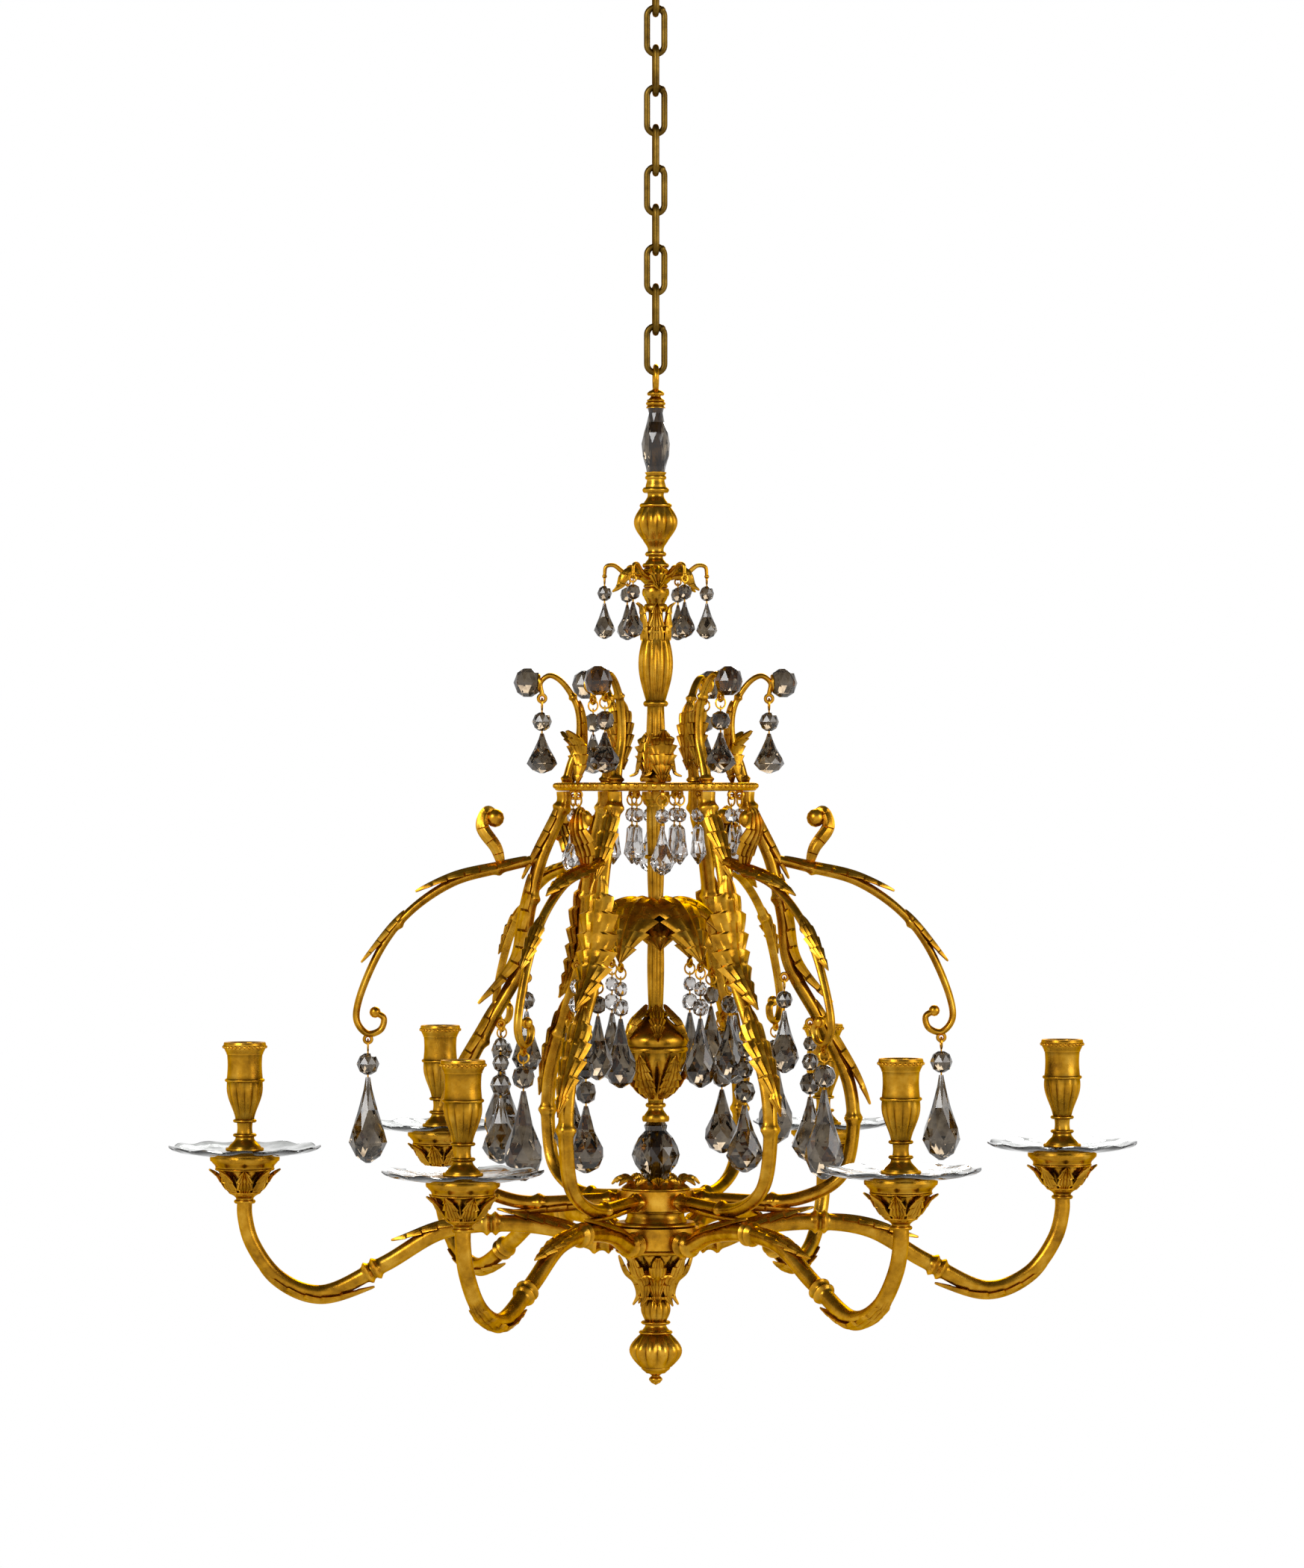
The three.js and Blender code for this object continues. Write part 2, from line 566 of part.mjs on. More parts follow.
// One casting: the rib, the outer scroll that branches from it, a leaf curl and the eye for a crystal drop.
function cageRib() {
  const ribTop = coronaZ - SEAT;
  const footR = facetR(HUB_RIB_R) + SEAT;
  const flankR = (share) => mix(SHOULDER_R, BELLY_R, share);
  const flankZ = (share) => ribTop - mix(SHOULDER_DROP, BELLY_DROP, share);
  const rib = drawn([
    [CORONA_R, ribTop], [CORONA_R, ribTop - RIB_HEAD],
    [mix(CORONA_R, SHOULDER_R, 0.65), ribTop - SHOULDER_DROP * 0.55], [SHOULDER_R, ribTop - SHOULDER_DROP],
    [flankR(0.08), flankZ(0.22)], [flankR(0.55), flankZ(0.52)], [flankR(0.95), flankZ(0.82)],
    [BELLY_R, ribTop - mix(BELLY_DROP, CAGE_H, 0.2)],
    [BELLY_R * 0.935, ribTop - mix(BELLY_DROP, CAGE_H, 0.72)], [BELLY_R * 0.72, ribFootZ],
    [footR + RIB_FOOT, ribFootZ], [footR, ribFootZ],
  ], 22, WIRE_SIDES, () => [RIB_THICK, RIB_WIDE]);
  const startZ = coronaZ - SCROLL_DROP;
  const fall = SCROLL_TIP_DROP - SCROLL_DROP;
  const branchZ = startZ - fall * 0.04;
  const c = SCROLL_CURL_R;
  const scroll = drawn([
    [SHOULDER_R - SCROLL_ROOT, startZ + SCROLL_ROOT * 0.3], [mix(SHOULDER_R, SCROLL_REACH, 0.15), branchZ],
    [mix(SHOULDER_R, SCROLL_REACH, 0.44), startZ - fall * 0.14],
    [mix(SHOULDER_R, SCROLL_REACH, 0.72), startZ - fall * 0.38],
    [mix(SHOULDER_R, SCROLL_REACH, 0.9), startZ - fall * 0.7],
    [SCROLL_REACH, curlZ - c], [SCROLL_REACH - c * 0.8, curlZ - 2 * c],
    [SCROLL_REACH - 1.7 * c, curlZ - 1.7 * c], [SCROLL_REACH - 1.9 * c, curlZ - 0.9 * c],
    [SCROLL_REACH - 1.3 * c, curlZ - 0.5 * c],
  ], 18, WIRE_SIDES, (t) => [SCROLL_THICK * mix(1, 0.6, t), SCROLL_WIDE * mix(1, 0.7, t)]);
  const leafZ = coronaZ - LEAF_DROP;
  const leaf = drawn([
    [mix(SHOULDER_R, SCROLL_REACH, 0.15), branchZ], [LEAF_R - LEAF_CURL * 0.93, mix(startZ, leafZ, 0.3)],
    [LEAF_R - LEAF_CURL * 0.27, mix(startZ, leafZ, 0.8)],
    [LEAF_R - LEAF_CURL * 0.53, leafZ + LEAF_CURL * 0.27], [LEAF_R - LEAF_CURL, leafZ],
  ], 8, 4, (t) => [mix(SCROLL_THICK, LEAF_TIP, t), mix(SCROLL_WIDE, LEAF_TIP, t)]);
  return joined([rib, scroll, leaf, eye(scrollEye.x, scrollEye.z)]);
}

// Candle arms

function candleArm() {
  const root = facetR(HUB_ARM_R) + SEAT;
  const tube = drawn([
    [root, armRootZ], [root + ARM_STRAIGHT, armRootZ], [ARM_HUMP_R * 0.62, armRootZ + ARM_HUMP * 0.65],
    [ARM_HUMP_R, armRootZ + ARM_HUMP], [mix(ARM_HUMP_R, ARM_DIP_R, 0.33), armRootZ + ARM_HUMP * 0.6],
    [mix(ARM_HUMP_R, ARM_DIP_R, 0.65), armRootZ - ARM_DIP * 0.43], [ARM_DIP_R, armRootZ - ARM_DIP],
    [mix(ARM_DIP_R, ARM_REACH, 0.55), armRootZ - ARM_DIP * 0.7], [mix(ARM_DIP_R, ARM_REACH, 0.9), armRootZ],
    [ARM_REACH, armRootZ + ARM_RISE * 0.62], [ARM_REACH, armRootZ + ARM_RISE],
  ], 20, WIRE_SIDES, (t) => [mix(ARM_TUBE, ARM_TUBE_END, t), mix(ARM_TUBE, ARM_TUBE_END, t)]);
  const top = holderZ + HOLDER_H;
  const skirtR = ARM_TUBE_END + HOLDER_WALL;
  const holder = turned([
    [0, holderZ - HOLDER_SKIRT], [skirtR, holderZ - HOLDER_SKIRT], [skirtR + HOLDER_WALL / 2, holderZ],
    [HOLDER_R * 0.55, holderZ + HOLDER_H * 0.25], [HOLDER_R * 0.75, holderZ + HOLDER_H * 0.5],
    [HOLDER_R, top - HOLDER_LIP], [HOLDER_R, top], [STUB_R, top], [STUB_R, top + STUB_H], [0, top + STUB_H],
  ], SMALL_ROUND);
  holder.translate(ARM_REACH, 0, 0);
  return joined([tube, holder]);
}

function dripPan() {
  const hole = STUB_R + STUB_PLAY;
  const outline = [
    [hole, 0], [PAN_FLAT_R, 0], [PAN_R, PAN_LIP], [PAN_R, PAN_LIP + PAN_RIM_T], [PAN_FLAT_R, PAN_T],
    [hole, PAN_T], [hole, 0],
  ];
  const pan = turned(outline, ROUND);
  pan.translate(ARM_REACH, 0, panZ);
  return pan;
}

function candleCup() {
  const body = turned([
    [0, 0], [CUP_FOOT_R, 0], [CUP_FOOT_R, CUP_FOOT_T], [CUP_FOOT_R * 0.6, CUP_SOCKET * 0.5],
    [CUP_NECK_R * 1.15, CUP_SOCKET * 1.1], [CUP_NECK_R, CUP_H * 0.26], [CUP_R * 0.72, CUP_H * 0.4],
    [CUP_R, CUP_H * 0.6], [CUP_R * 0.97, CUP_H * 0.8], [CUP_RIM_R, CUP_H - CUP_RIM_H], [CUP_RIM_R, CUP_H],
    [CUP_BORE_R, CUP_H], [CUP_BORE_R, CUP_H - CUP_BORE_DEPTH], [0, CUP_H - CUP_BORE_DEPTH],
  ], SMALL_ROUND);
  const cup = cutBy(body, [rod(STUB_R + STUB_PLAY, -1, CUP_SOCKET)]);
  cup.translate(ARM_REACH, 0, cupZ);
  return cup;
}

// Crystal drops: a wire ring through the eye, an eight-sided bead and a pear-shaped drop below it.
function crystalDrop(hang, piece) {
  const ring = new THREE.TorusGeometry(DROP_RING_R, DROP_WIRE, 4, 6);
  ring.rotateY(Math.PI / 2);
  ring.translate(0, 0, -DROP_RING_R);
  const beadZ = -2 * DROP_RING_R - piece.bead + DROP_NIP;
  const bead = turned([[0, -piece.bead * 0.4], [piece.bead, 0], [0, piece.bead * 0.4]], 8);
  bead.rotateY(Math.PI / 2);
  bead.translate(0, 0, beadZ);
  const dropTop = beadZ - piece.bead - piece.gap;
  const wire = rod(DROP_WIRE, dropTop - DROP_WIRE_SUNK, -2 * DROP_RING_R - DROP_WIRE * 0.5, 3);
  const at = (share) => dropTop - piece.tall * share;
  const pear = turned([
    [0, at(1)], [piece.wide * 0.75, at(0.86)], [piece.wide, at(0.7)], [piece.wide * 0.62, at(0.42)],
    [piece.wide * 0.3, at(0.15)], [0, dropTop],
  ], 6);
  pear.scale(DROP_FLAT, 1, 1);
  const drop = joined([ring, bead, wire, pear]);
  drop.translate(hang.x, 0, hang.z);
  return drop;
}

// Assembly

const chandelier = new THREE.Group();

function place(parent, name, geometry, finish) {
  const mesh = new THREE.Mesh(geometry, new THREE.MeshStandardMaterial(finish));
  mesh.name = name;
  parent.add(mesh);
  return mesh;
}

place(chandelier, 'ceiling_rose', ceilingRose(), AGED_BRASS);
place(chandelier, 'ceiling_hook', ceilingHook(), AGED_BRASS);

// Each link stands crosswise to the one above it, and the loop to the last link.
const crosswise = (i) => (i % 2 === 0 ? Math.PI / 2 : 0);
for (let i = 0; i < CHAIN_LINKS; i++) {
  const link = place(chandelier, `chain_link_${i + 1}`, chainLink(), AGED_BRASS);
  link.position.z = linkZ(i);
  link.rotation.z = crosswise(i);
}

const loop = place(chandelier, 'hanging_loop', hangingLoop(), GILT_BRASS);
loop.rotation.z = crosswise(CHAIN_LINKS);
place(chandelier, 'tie_rod', tieRod(), AGED_BRASS);
place(chandelier, 'neck_crystal', neckCrystal(), CUT_CRYSTAL);
place(chandelier, 'top_vase', topVase(), GILT_BRASS);
place(chandelier, 'top_crown', topCrown(), GILT_BRASS);
place(chandelier, 'stem', stem(), GILT_BRASS);
place(chandelier, 'corona', corona(), GILT_BRASS);
place(chandelier, 'centre_column', centreColumn(), GILT_BRASS);
place(chandelier, 'core_crystal', coreCrystal(), CUT_CRYSTAL);
place(chandelier, 'arm_hub', armHub(), GILT_BRASS);
place(chandelier, 'finial', finial(), GILT_BRASS);

for (let i = 0; i < LIGHTS; i++) {
  const branch = new THREE.Group();
  branch.rotation.z = (2 * Math.PI * i) / LIGHTS;
  chandelier.add(branch);
  place(branch, `cage_rib_${i + 1}`, cageRib(), GILT_BRASS);
  place(branch, `candle_arm_${i + 1}`, candleArm(), GILT_BRASS);
  place(branch, `drip_pan_${i + 1}`, dripPan(), CUT_CRYSTAL);
  place(branch, `candle_cup_${i + 1}`, candleCup(), GILT_BRASS);
  place(branch, `scroll_drop_${i + 1}`, crystalDrop(scrollEye, SCROLL_DROP_PIECE), CUT_CRYSTAL);
  place(branch, `corona_drop_${i + 1}`, crystalDrop(coronaEye, CORONA_DROP_PIECE), CUT_CRYSTAL);
}

export default chandelier;
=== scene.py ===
"""A six-light cage chandelier in gilt brass and cut crystal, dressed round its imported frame.

Shapes are worked out in millimetres and put into the meshes in metres. A shell is a closed surface, kept as
points, quads and triangles. Radial pieces are made in the XZ plane, with x as the radius, and then turned
about the stem to their place.
"""

import bpy
import numpy as np
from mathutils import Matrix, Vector


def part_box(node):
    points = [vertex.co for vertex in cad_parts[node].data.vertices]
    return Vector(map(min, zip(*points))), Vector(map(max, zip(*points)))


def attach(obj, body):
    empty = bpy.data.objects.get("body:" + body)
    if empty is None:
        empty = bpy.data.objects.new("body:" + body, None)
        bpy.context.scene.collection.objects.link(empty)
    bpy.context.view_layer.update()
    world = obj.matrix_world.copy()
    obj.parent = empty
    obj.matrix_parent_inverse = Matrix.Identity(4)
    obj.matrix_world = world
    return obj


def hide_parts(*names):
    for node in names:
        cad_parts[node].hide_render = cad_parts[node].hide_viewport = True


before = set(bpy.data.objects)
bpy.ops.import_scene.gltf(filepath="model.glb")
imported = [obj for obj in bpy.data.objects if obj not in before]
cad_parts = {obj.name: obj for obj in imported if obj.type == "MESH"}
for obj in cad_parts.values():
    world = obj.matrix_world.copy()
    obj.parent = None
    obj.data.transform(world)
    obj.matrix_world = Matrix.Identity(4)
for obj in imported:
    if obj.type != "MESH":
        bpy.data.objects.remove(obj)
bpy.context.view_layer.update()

# Driving sizes, in millimetres
LIGHTS = 6
HOOK_WIRE = 3.0
HOOK_R = 9.0
LINK_WIRE = 2.2
LOOP_WIRE = 1.8
LOOP_R = 8.5
LOOP_BOSS_H = 8.0
CROWN_BOSS_R = 11.0
CROWN_REACH = 36.0
CORONA_R = 65.0
CORONA_BAND = 12.0
CORONA_H = 6.0
CORONA_BOSS_R = 11.0
CORONA_TIP_R = 80.0
CORONA_TIP_RISE = 75.0
CORONA_SWAY = 11.0
CORONA_CURL_R = 5.0
CORONA_EYE_DROP = 6.0
CAGE_H = 287.0
SHOULDER_R = 90.0
SHOULDER_DROP = 88.0
BELLY_R = 139.0
BELLY_DROP = 232.0
RIB_HEAD = 8.0
RIB_FOOT = 14.0
RIB_HALF_THICK = 4.5
RIB_HALF_WIDE = 5.2
HUB_RIB_R = 27.0
HUB_ARM_R = 30.0
ARM_BELOW_RIB = 29.0
SCROLL_DROP = 50.0
SCROLL_REACH = 210.0
SCROLL_TIP_DROP = 150.0
SCROLL_CURL_R = 10.0
SCROLL_THICK = 3.4
SCROLL_HALF_WIDE = 3.8
LEAF_R = 126.0
LEAF_DROP = 18.0
LEAF_CURL = 15.0
ARM_REACH = 288.0
ARM_HUMP_R = 108.0
ARM_HUMP = 13.0
ARM_DIP_R = 235.0
ARM_DIP = 35.0
ARM_RISE = 32.0
ARM_ROOT_R = 6.2             # the arm's tube at the hub
ARM_TIP_R = 5.3              # and under the calyx
HOLDER_H = 29.0
HOLDER_R = 24.0
PAN_INSET = 0.5              # keeps a pan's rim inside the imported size
CUP_BORE_R = 11.0
CUP_BORE_DEPTH = 34.0

# Eyes and the lines of stones that hang from them
EYE_R = 3.8
EYE_RING_R = 2.6
EYE_RING_WIRE = 1.2
EYE_SUNK = 1.2               # how far an eye sinks into what carries it
SPOKE_EYE_R = 30.0
SPOKE_LIFT = 0.6             # from the corona's underside up to its spokes'
FLANK_EYE_DROP = 127.5       # from the rib's top down to its upper inner eye
BELLY_EYE_DROP = 160.0       # and down to its lower one
DROP_RING_R = 4.0
DROP_WIRE = 0.7
PIN_ABOVE = 2.0              # how far a pin runs into what it hangs from
PIN_BELOW = 2.5              # and into the stone below it
STONE_GAP = 1.8              # between two stones on one line
TIP_STONE_R = 10.0
CANOPY_R = 57.0
CANOPY_DROP = 85.0           # from the corona's underside down to the canopy's collar
CANOPY_TIP_DROP = 35.0       # from the collar down to the long leaves' tips
CANOPY_EYE_IN = 1.5          # from a long leaf's tip in to its eye

Y_AXIS = np.array([0.0, 1.0, 0.0])
HALF_STEP = np.pi / LIGHTS
SHARP_ANGLE = np.radians(40)
FRAME_BODY = "chandelier_frame"


def heights(node):
    """Lowest and highest z of a node of the frame, in millimetres."""
    low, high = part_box(node)
    return low.z * 1000, high.z * 1000


corona_z = heights("corona")[0]
corona_top = corona_z + CORONA_H
rib_top = heights("cage_rib_1")[1]
rib_foot_z = rib_top - CAGE_H
arm_root_z = rib_foot_z - ARM_BELOW_RIB
holder_z = arm_root_z + ARM_RISE
corona_eye = np.array([CORONA_TIP_R, 0, corona_top + CORONA_TIP_RISE - 2 * CORONA_CURL_R - CORONA_EYE_DROP])
curl_z = corona_z - SCROLL_TIP_DROP
scroll_eye_z = curl_z - 2 * SCROLL_CURL_R - SCROLL_THICK * 0.6 - EYE_R + 2
scroll_eye = np.array([SCROLL_REACH - 0.8 * SCROLL_CURL_R, 0, scroll_eye_z])
band_eye = np.array([CORONA_R, 0, corona_z - EYE_R + EYE_SUNK])
spoke_eye = np.array([SPOKE_EYE_R, 0, corona_z + SPOKE_LIFT - EYE_R + EYE_SUNK])
canopy_z = corona_z - CANOPY_DROP
canopy_eye = np.array([CANOPY_R - CANOPY_EYE_IN, 0, canopy_z - CANOPY_TIP_DROP - EYE_R + EYE_SUNK])


# Curves

def mix(a, b, share):
    """The value that lies a share of the way from a to b."""
    return a + (b - a) * share


def ring(count):
    """Equal angles round a full turn."""
    return 2 * np.pi * np.arange(count) / count


def bells(t, places, width):
    """The sum of bell curves of one width, one at each place along t."""
    return sum(np.exp(-((t - at) / width) ** 2) for at in places)


def flowing(points, steps):
    """A smooth curve through the points: each span is a cubic whose end slopes come from the neighbouring
    spans, weighted by the square roots of their lengths."""
    p = np.array(points, float)
    p = np.vstack([2 * p[0] - p[1], p, 2 * p[-1] - p[-2]])
    gap = np.sqrt(np.linalg.norm(np.diff(p, axis=0), axis=1))[:, None]
    slope = np.diff(p, axis=0) / gap
    here, there = p[1:-2], p[2:-1]
    leaving = (slope[:-2] - (there - p[:-3]) / (gap[:-2] + gap[1:-1]) + slope[1:-1]) * gap[1:-1]
    arriving = (slope[1:-1] - (p[3:] - here) / (gap[1:-1] + gap[2:]) + slope[2:]) * gap[1:-1]
    t = (np.arange(steps) / steps)[None, :, None]
    here, there, leaving, arriving = (v[:, None, :] for v in (here, there, leaving, arriving))
    curve = (2 * t**3 - 3 * t**2 + 1) * here + (t**3 - 2 * t**2 + t) * leaving
    curve = curve + (3 * t**2 - 2 * t**3) * there + (t**3 - t**2) * arriving
    return np.vstack([curve.reshape(-1, p.shape[1]), p[-2:-1]])


def lengths(path):
    """Distance along the path to each of its points."""
    return np.concatenate([[0], np.cumsum(np.linalg.norm(np.diff(path, axis=0), axis=1))])


def evenly(path, count):
    """The same path with equal steps."""
    along = lengths(path)
    at = np.linspace(0, along[-1], count)
    return np.stack([np.interp(at, along, path[:, k]) for k in range(path.shape[1])], axis=1)


def radial(points, count, steps=24):
    """An even curve in the XZ plane through points given as radius and height."""
    flat = evenly(flowing(points, steps), count)
    return np.stack([flat[:, 0], np.zeros(len(flat)), flat[:, 1]], axis=1)


def tangents(path, closed=False):
    """Unit directions along the path, from the points before and after each one."""
    if closed:
        step = np.roll(path, -1, axis=0) - np.roll(path, 1, axis=0)
    else:
        step = np.gradient(path, axis=0)
    return step / np.linalg.norm(step, axis=1)[:, None]


def normals(path, side=Y_AXIS, closed=False):
    """Unit directions across the path in its own plane: outwards on a path that runs down, up on one that
    runs outwards."""
    across = np.cross(tangents(path, closed), side)
    return across / np.linalg.norm(across, axis=1)[:, None]


def beside(path, distance):
    """The path moved across itself by a distance, which may differ from point to point."""
    return path + normals(path) * np.asarray(distance).reshape(-1, 1)


# Shells

def oriented(shell):
    """Turns the faces of a closed shell outwards, by the sign of its volume."""
    points, quads, tris = shell
    fans = np.vstack([quads[:, [0, 1, 2]], quads[:, [0, 2, 3]], tris])
    a, b, c = (points[fans[:, k]] for k in range(3))
    if np.einsum("ij,ij->i", a, np.cross(b, c)).sum() < 0:
        return points, quads[:, ::-1], tris[:, ::-1]
    return shell


def skin(grid, closed=False):
    """A closed shell over a grid of rings, each joined to its neighbours. If closed, the last ring joins the
    first, and otherwise each end closes on the middle of its ring."""
    rows, columns = grid.shape[:2]
    points = grid.reshape(-1, 3)
    row = np.arange(rows if closed else rows - 1)[:, None]
    column = np.arange(columns)[None, :]
    after, beyond = (row + 1) % rows, (column + 1) % columns
    here, there = row * columns, after * columns
    corners = [here + column, here + beyond, there + beyond, there + column]
    quads = np.stack([np.broadcast_to(c, (len(row), columns)) for c in corners], axis=-1).reshape(-1, 4)
    tris = np.empty((0, 3), int)
    if not closed:
        points = np.vstack([points, grid[0].mean(axis=0), grid[-1].mean(axis=0)])
        start, end = rows * columns, rows * columns + 1
        k = np.arange(columns)
        k_next = (k + 1) % columns
        last = (rows - 1) * columns
        first_fan = np.stack([np.full(columns, start), k_next, k], axis=1)
        last_fan = np.stack([np.full(columns, end), last + k, last + k_next], axis=1)
        tris = np.vstack([first_fan, last_fan])
    return oriented((points, quads, tris))


def carried(path, out, across, side=Y_AXIS, closed=False):
    """Carries a section along a path: out and across hold, for each point of the path, the section's offsets
    along the path's normal and along side."""
    n = normals(path, side, closed)
    grid = path[:, None, :] + n[:, None, :] * out[:, :, None] + np.asarray(side) * across[:, :, None]
    return skin(grid, closed)


def wire(path, radius, sides=10, side=Y_AXIS, closed=False):
    """A round wire along a path; the radius may be a list, one for each point."""
    r = np.broadcast_to(np.asarray(radius, float), (len(path),))[:, None]
    angle = ring(sides)[None, :]
    return carried(path, r * np.cos(angle), r * np.sin(angle), side, closed)


def moved(shell, by):
    """Shifts a shell by a vector."""
    return shell[0] + np.asarray(by, float), shell[1], shell[2]


def spun(shell, angle):
    """Turns a shell about the stem's axis."""
    c, s = np.cos(angle), np.sin(angle)
    turn = np.array([[c, s, 0], [-s, c, 0], [0, 0, 1]])
    return shell[0] @ turn, shell[1], shell[2]


def all_round(shells, count=LIGHTS, start=0.0):
    """Copies of the shells at equal angles round the stem."""
    return [spun(shell, start + angle) for angle in ring(count) for shell in shells]


# Turned work

def moulding(bottom, height, *parts):
    """A turned outline, from the bottom up, as rows of radius, height and how deep its lobes are cut.

    Each part is (share of the height, radius below, radius above, swell, lobes), and the last two may be left
    out where they are none: the radius eases from one value to the other along half a cosine, and a half sine
    wave of the swell is added to it, outwards for a bead and inwards for a cove."""
    total = sum(part[0] for part in parts)
    rows = []
    z = bottom
    for part in parts:
        share, below, above, swell, lobed = (*part, 0, 0)[:5]
        rise = height * share / total
        t = np.linspace(0, 1, 2 if below == above and swell == 0 or share == 0 else 13)
        radius = mix(below, above, (1 - np.cos(np.pi * t)) / 2) + swell * np.sin(np.pi * t)
        rows.append(np.stack([radius, z + rise * t, lobed * np.sin(np.pi * t) ** 0.5], axis=1))
        z += rise
    return np.vstack(rows)


def turned(outline, sides=48, lobes=12, depth=0.12, closed=False):
    """Revolves an outline about Z. Where it is lobed, the radius dips between lobes by the depth times one
    less the size of a sine that runs half a turn for each lobe."""
    r, z, lobed = (column[:, None] for column in np.asarray(outline, float).T)
    angle = ring(sides)[None, :]
    dip = 1 - depth * lobed * (1 - np.abs(np.sin(lobes * angle / 2)))
    grid = np.stack([r * dip * np.cos(angle), r * dip * np.sin(angle), z + 0 * angle], axis=-1)
    return skin(grid, closed)


def bead(centre, radius, sides=10):
    """A small ball: rings of latitude from pole to pole."""
    t = np.linspace(0.02, np.pi - 0.02, 7)
    outline = np.stack([radius * np.sin(t), -radius * np.cos(t), 0 * t], axis=1)
    return moved(turned(outline, sides), centre)


# Leaves

def leaf(path, width, thick, teeth=6, notch=0.3, cup=-0.25, sides=28):
    """A carved leaf along a path. Its half width swells as a sine and comes to a point, and each tooth
    narrows it and lets it out again. The section is a thin oval whose edges cup by the square of the distance
    from the vein, with cosine ribs across it."""
    t = np.linspace(0, 1, len(path))
    tooth = (teeth * t) % 1
    half = width * np.clip(np.sin(np.pi * np.clip(t, 0.02, 0.995) ** 0.8), 0.02, 1) ** 0.75
    half = (half * (1 - notch * tooth))[:, None]
    body = (thick * (0.3 + 0.7 * np.sin(np.pi * t) ** 0.5))[:, None]
    angle = ring(sides)[None, :]
    across = np.cos(angle)
    ribs = 1 + 0.4 * np.cos(5 * np.pi * across)
    out = cup * half * across**2 + body * np.sin(angle) * ribs
    return carried(path, out, half * across)


def lying_leaf(path, first, last, width, thick, lift, curl, count=60, **shape):
    """A leaf that lies on a stretch of a path, lifted off it, with its tip curling away as the cube of the
    distance."""
    part = evenly(path[int(first * (len(path) - 1)):int(last * (len(path) - 1)) + 1], count)
    t = np.linspace(0, 1, count)
    return leaf(beside(part, lift + curl * t**3), width, thick, **shape)


# Cut crystal

# Cuts of the hanging stones, from the top down: shares of the half width at shares of the length
BEAD = np.array([[0.3, 0], [0.78, 0.15], [1, 0.5], [0.78, 0.85], [0.3, 1]])
PEAR = np.array([[0.12, 0], [0.24, 0.14], [0.5, 0.38], [0.9, 0.62], [1, 0.76], [0.68, 0.92], [0.14, 1]])
SPEAR = np.array([[0.2, 0], [0.62, 0.1], [0.74, 0.42], [1, 0.74], [0.1, 1]])


def cut_column(radii, levels, sides=10):
    """A faceted column: rings of corners, each turned half a step from the last and joined by triangles."""
    rings = []
    for i, (radius, z) in enumerate(zip(radii, levels)):
        angle = ring(sides) + (i % 2) * np.pi / sides
        rings.append(np.stack([radius * np.cos(angle), radius * np.sin(angle), np.full(sides, z)], axis=1))
    points = np.vstack(rings + [[[0, 0, levels[0]]], [[0, 0, levels[-1]]]])
    k = np.arange(sides)
    k_next = (k + 1) % sides
    tris = []
    for i in range(len(radii) - 1):
        here, here_next = i * sides + k, i * sides + k_next
        there, there_next = here + sides, here_next + sides
        if i % 2 == 0:
            tris += [np.stack([here, here_next, there], 1), np.stack([here_next, there_next, there], 1)]
        else:
            tris += [np.stack([here, there_next, there], 1), np.stack([here, here_next, there_next], 1)]
    first, final, last = len(points) - 2, len(points) - 1, (len(radii) - 1) * sides
    tris.append(np.stack([np.full(sides, first), k_next, k], 1))
    tris.append(np.stack([np.full(sides, final), last + k, last + k_next], 1))
    return oriented((points, np.empty((0, 4), int), np.vstack(tris)))


def wire_ring(centre, radius, thick=DROP_WIRE, facing="x"):
    """A small closed ring of wire; facing names the axis that runs through it."""
    angle = ring(20)
    flat, zero = radius * np.cos(angle), 0 * angle
    if facing == "x":
        path, side = np.stack([zero, flat, radius * np.sin(angle)], axis=1), np.array([1.0, 0, 0])
    else:
        path, side = np.stack([flat, zero, radius * np.sin(angle)], axis=1), Y_AXIS
    return moved(wire(path, thick, 6, side, closed=True), centre)


def pin(top, bottom, thick=DROP_WIRE * 0.8):
    """A straight wire between two points on one plumb line."""
    path = np.linspace(np.array(top, float), np.array(bottom, float), 3)
    return wire(path, thick, 6)


def eye_ring(centre):
    """The small cast eye that a drop's ring goes through, facing along the band or rib that carries it."""
    return wire_ring(centre, EYE_RING_R, EYE_RING_WIRE, "y")


def hanging(eye, *stones, ring_r=DROP_RING_R):
    """Stones on a plumb line below an eye: a wire ring through the eye, then each stone on its own pin.
    Each stone is (cut, half width, length). Returns the stones' shells and the wires'."""
    x, y, z = eye
    cut_stones, wires = [], [wire_ring(eye - [0, 0, ring_r], ring_r)]
    z = z - 2 * ring_r
    for cut, width, length in stones:
        wires.append(pin([x, y, z + PIN_ABOVE], [x, y, z - STONE_GAP - PIN_BELOW]))
        z -= STONE_GAP
        stone = cut_column(width * cut[:, 0], z - length * cut[:, 1], 8)
        cut_stones.append(moved(stone, [x, y, 0]))
        z -= length
    return cut_stones, wires


# Finishes

PATCHES_PER_M = 80.0         # tones in the brass, some 12 mm wide
RUBBED_PER_M = 260.0         # duller and brighter rubbed spots on it, some 4 mm wide
FILM_PER_M = 120.0           # dull spots on glass, some 8 mm wide


def linear(hex_colour):
    """An sRGB hex colour as linear light, for a shader's socket."""
    values = np.array([int(hex_colour[i:i + 2], 16) for i in (1, 3, 5)]) / 255
    out = np.where(values <= 0.04045, values / 12.92, ((values + 0.055) / 1.055) ** 2.4)
    return (*out.tolist(), 1.0)


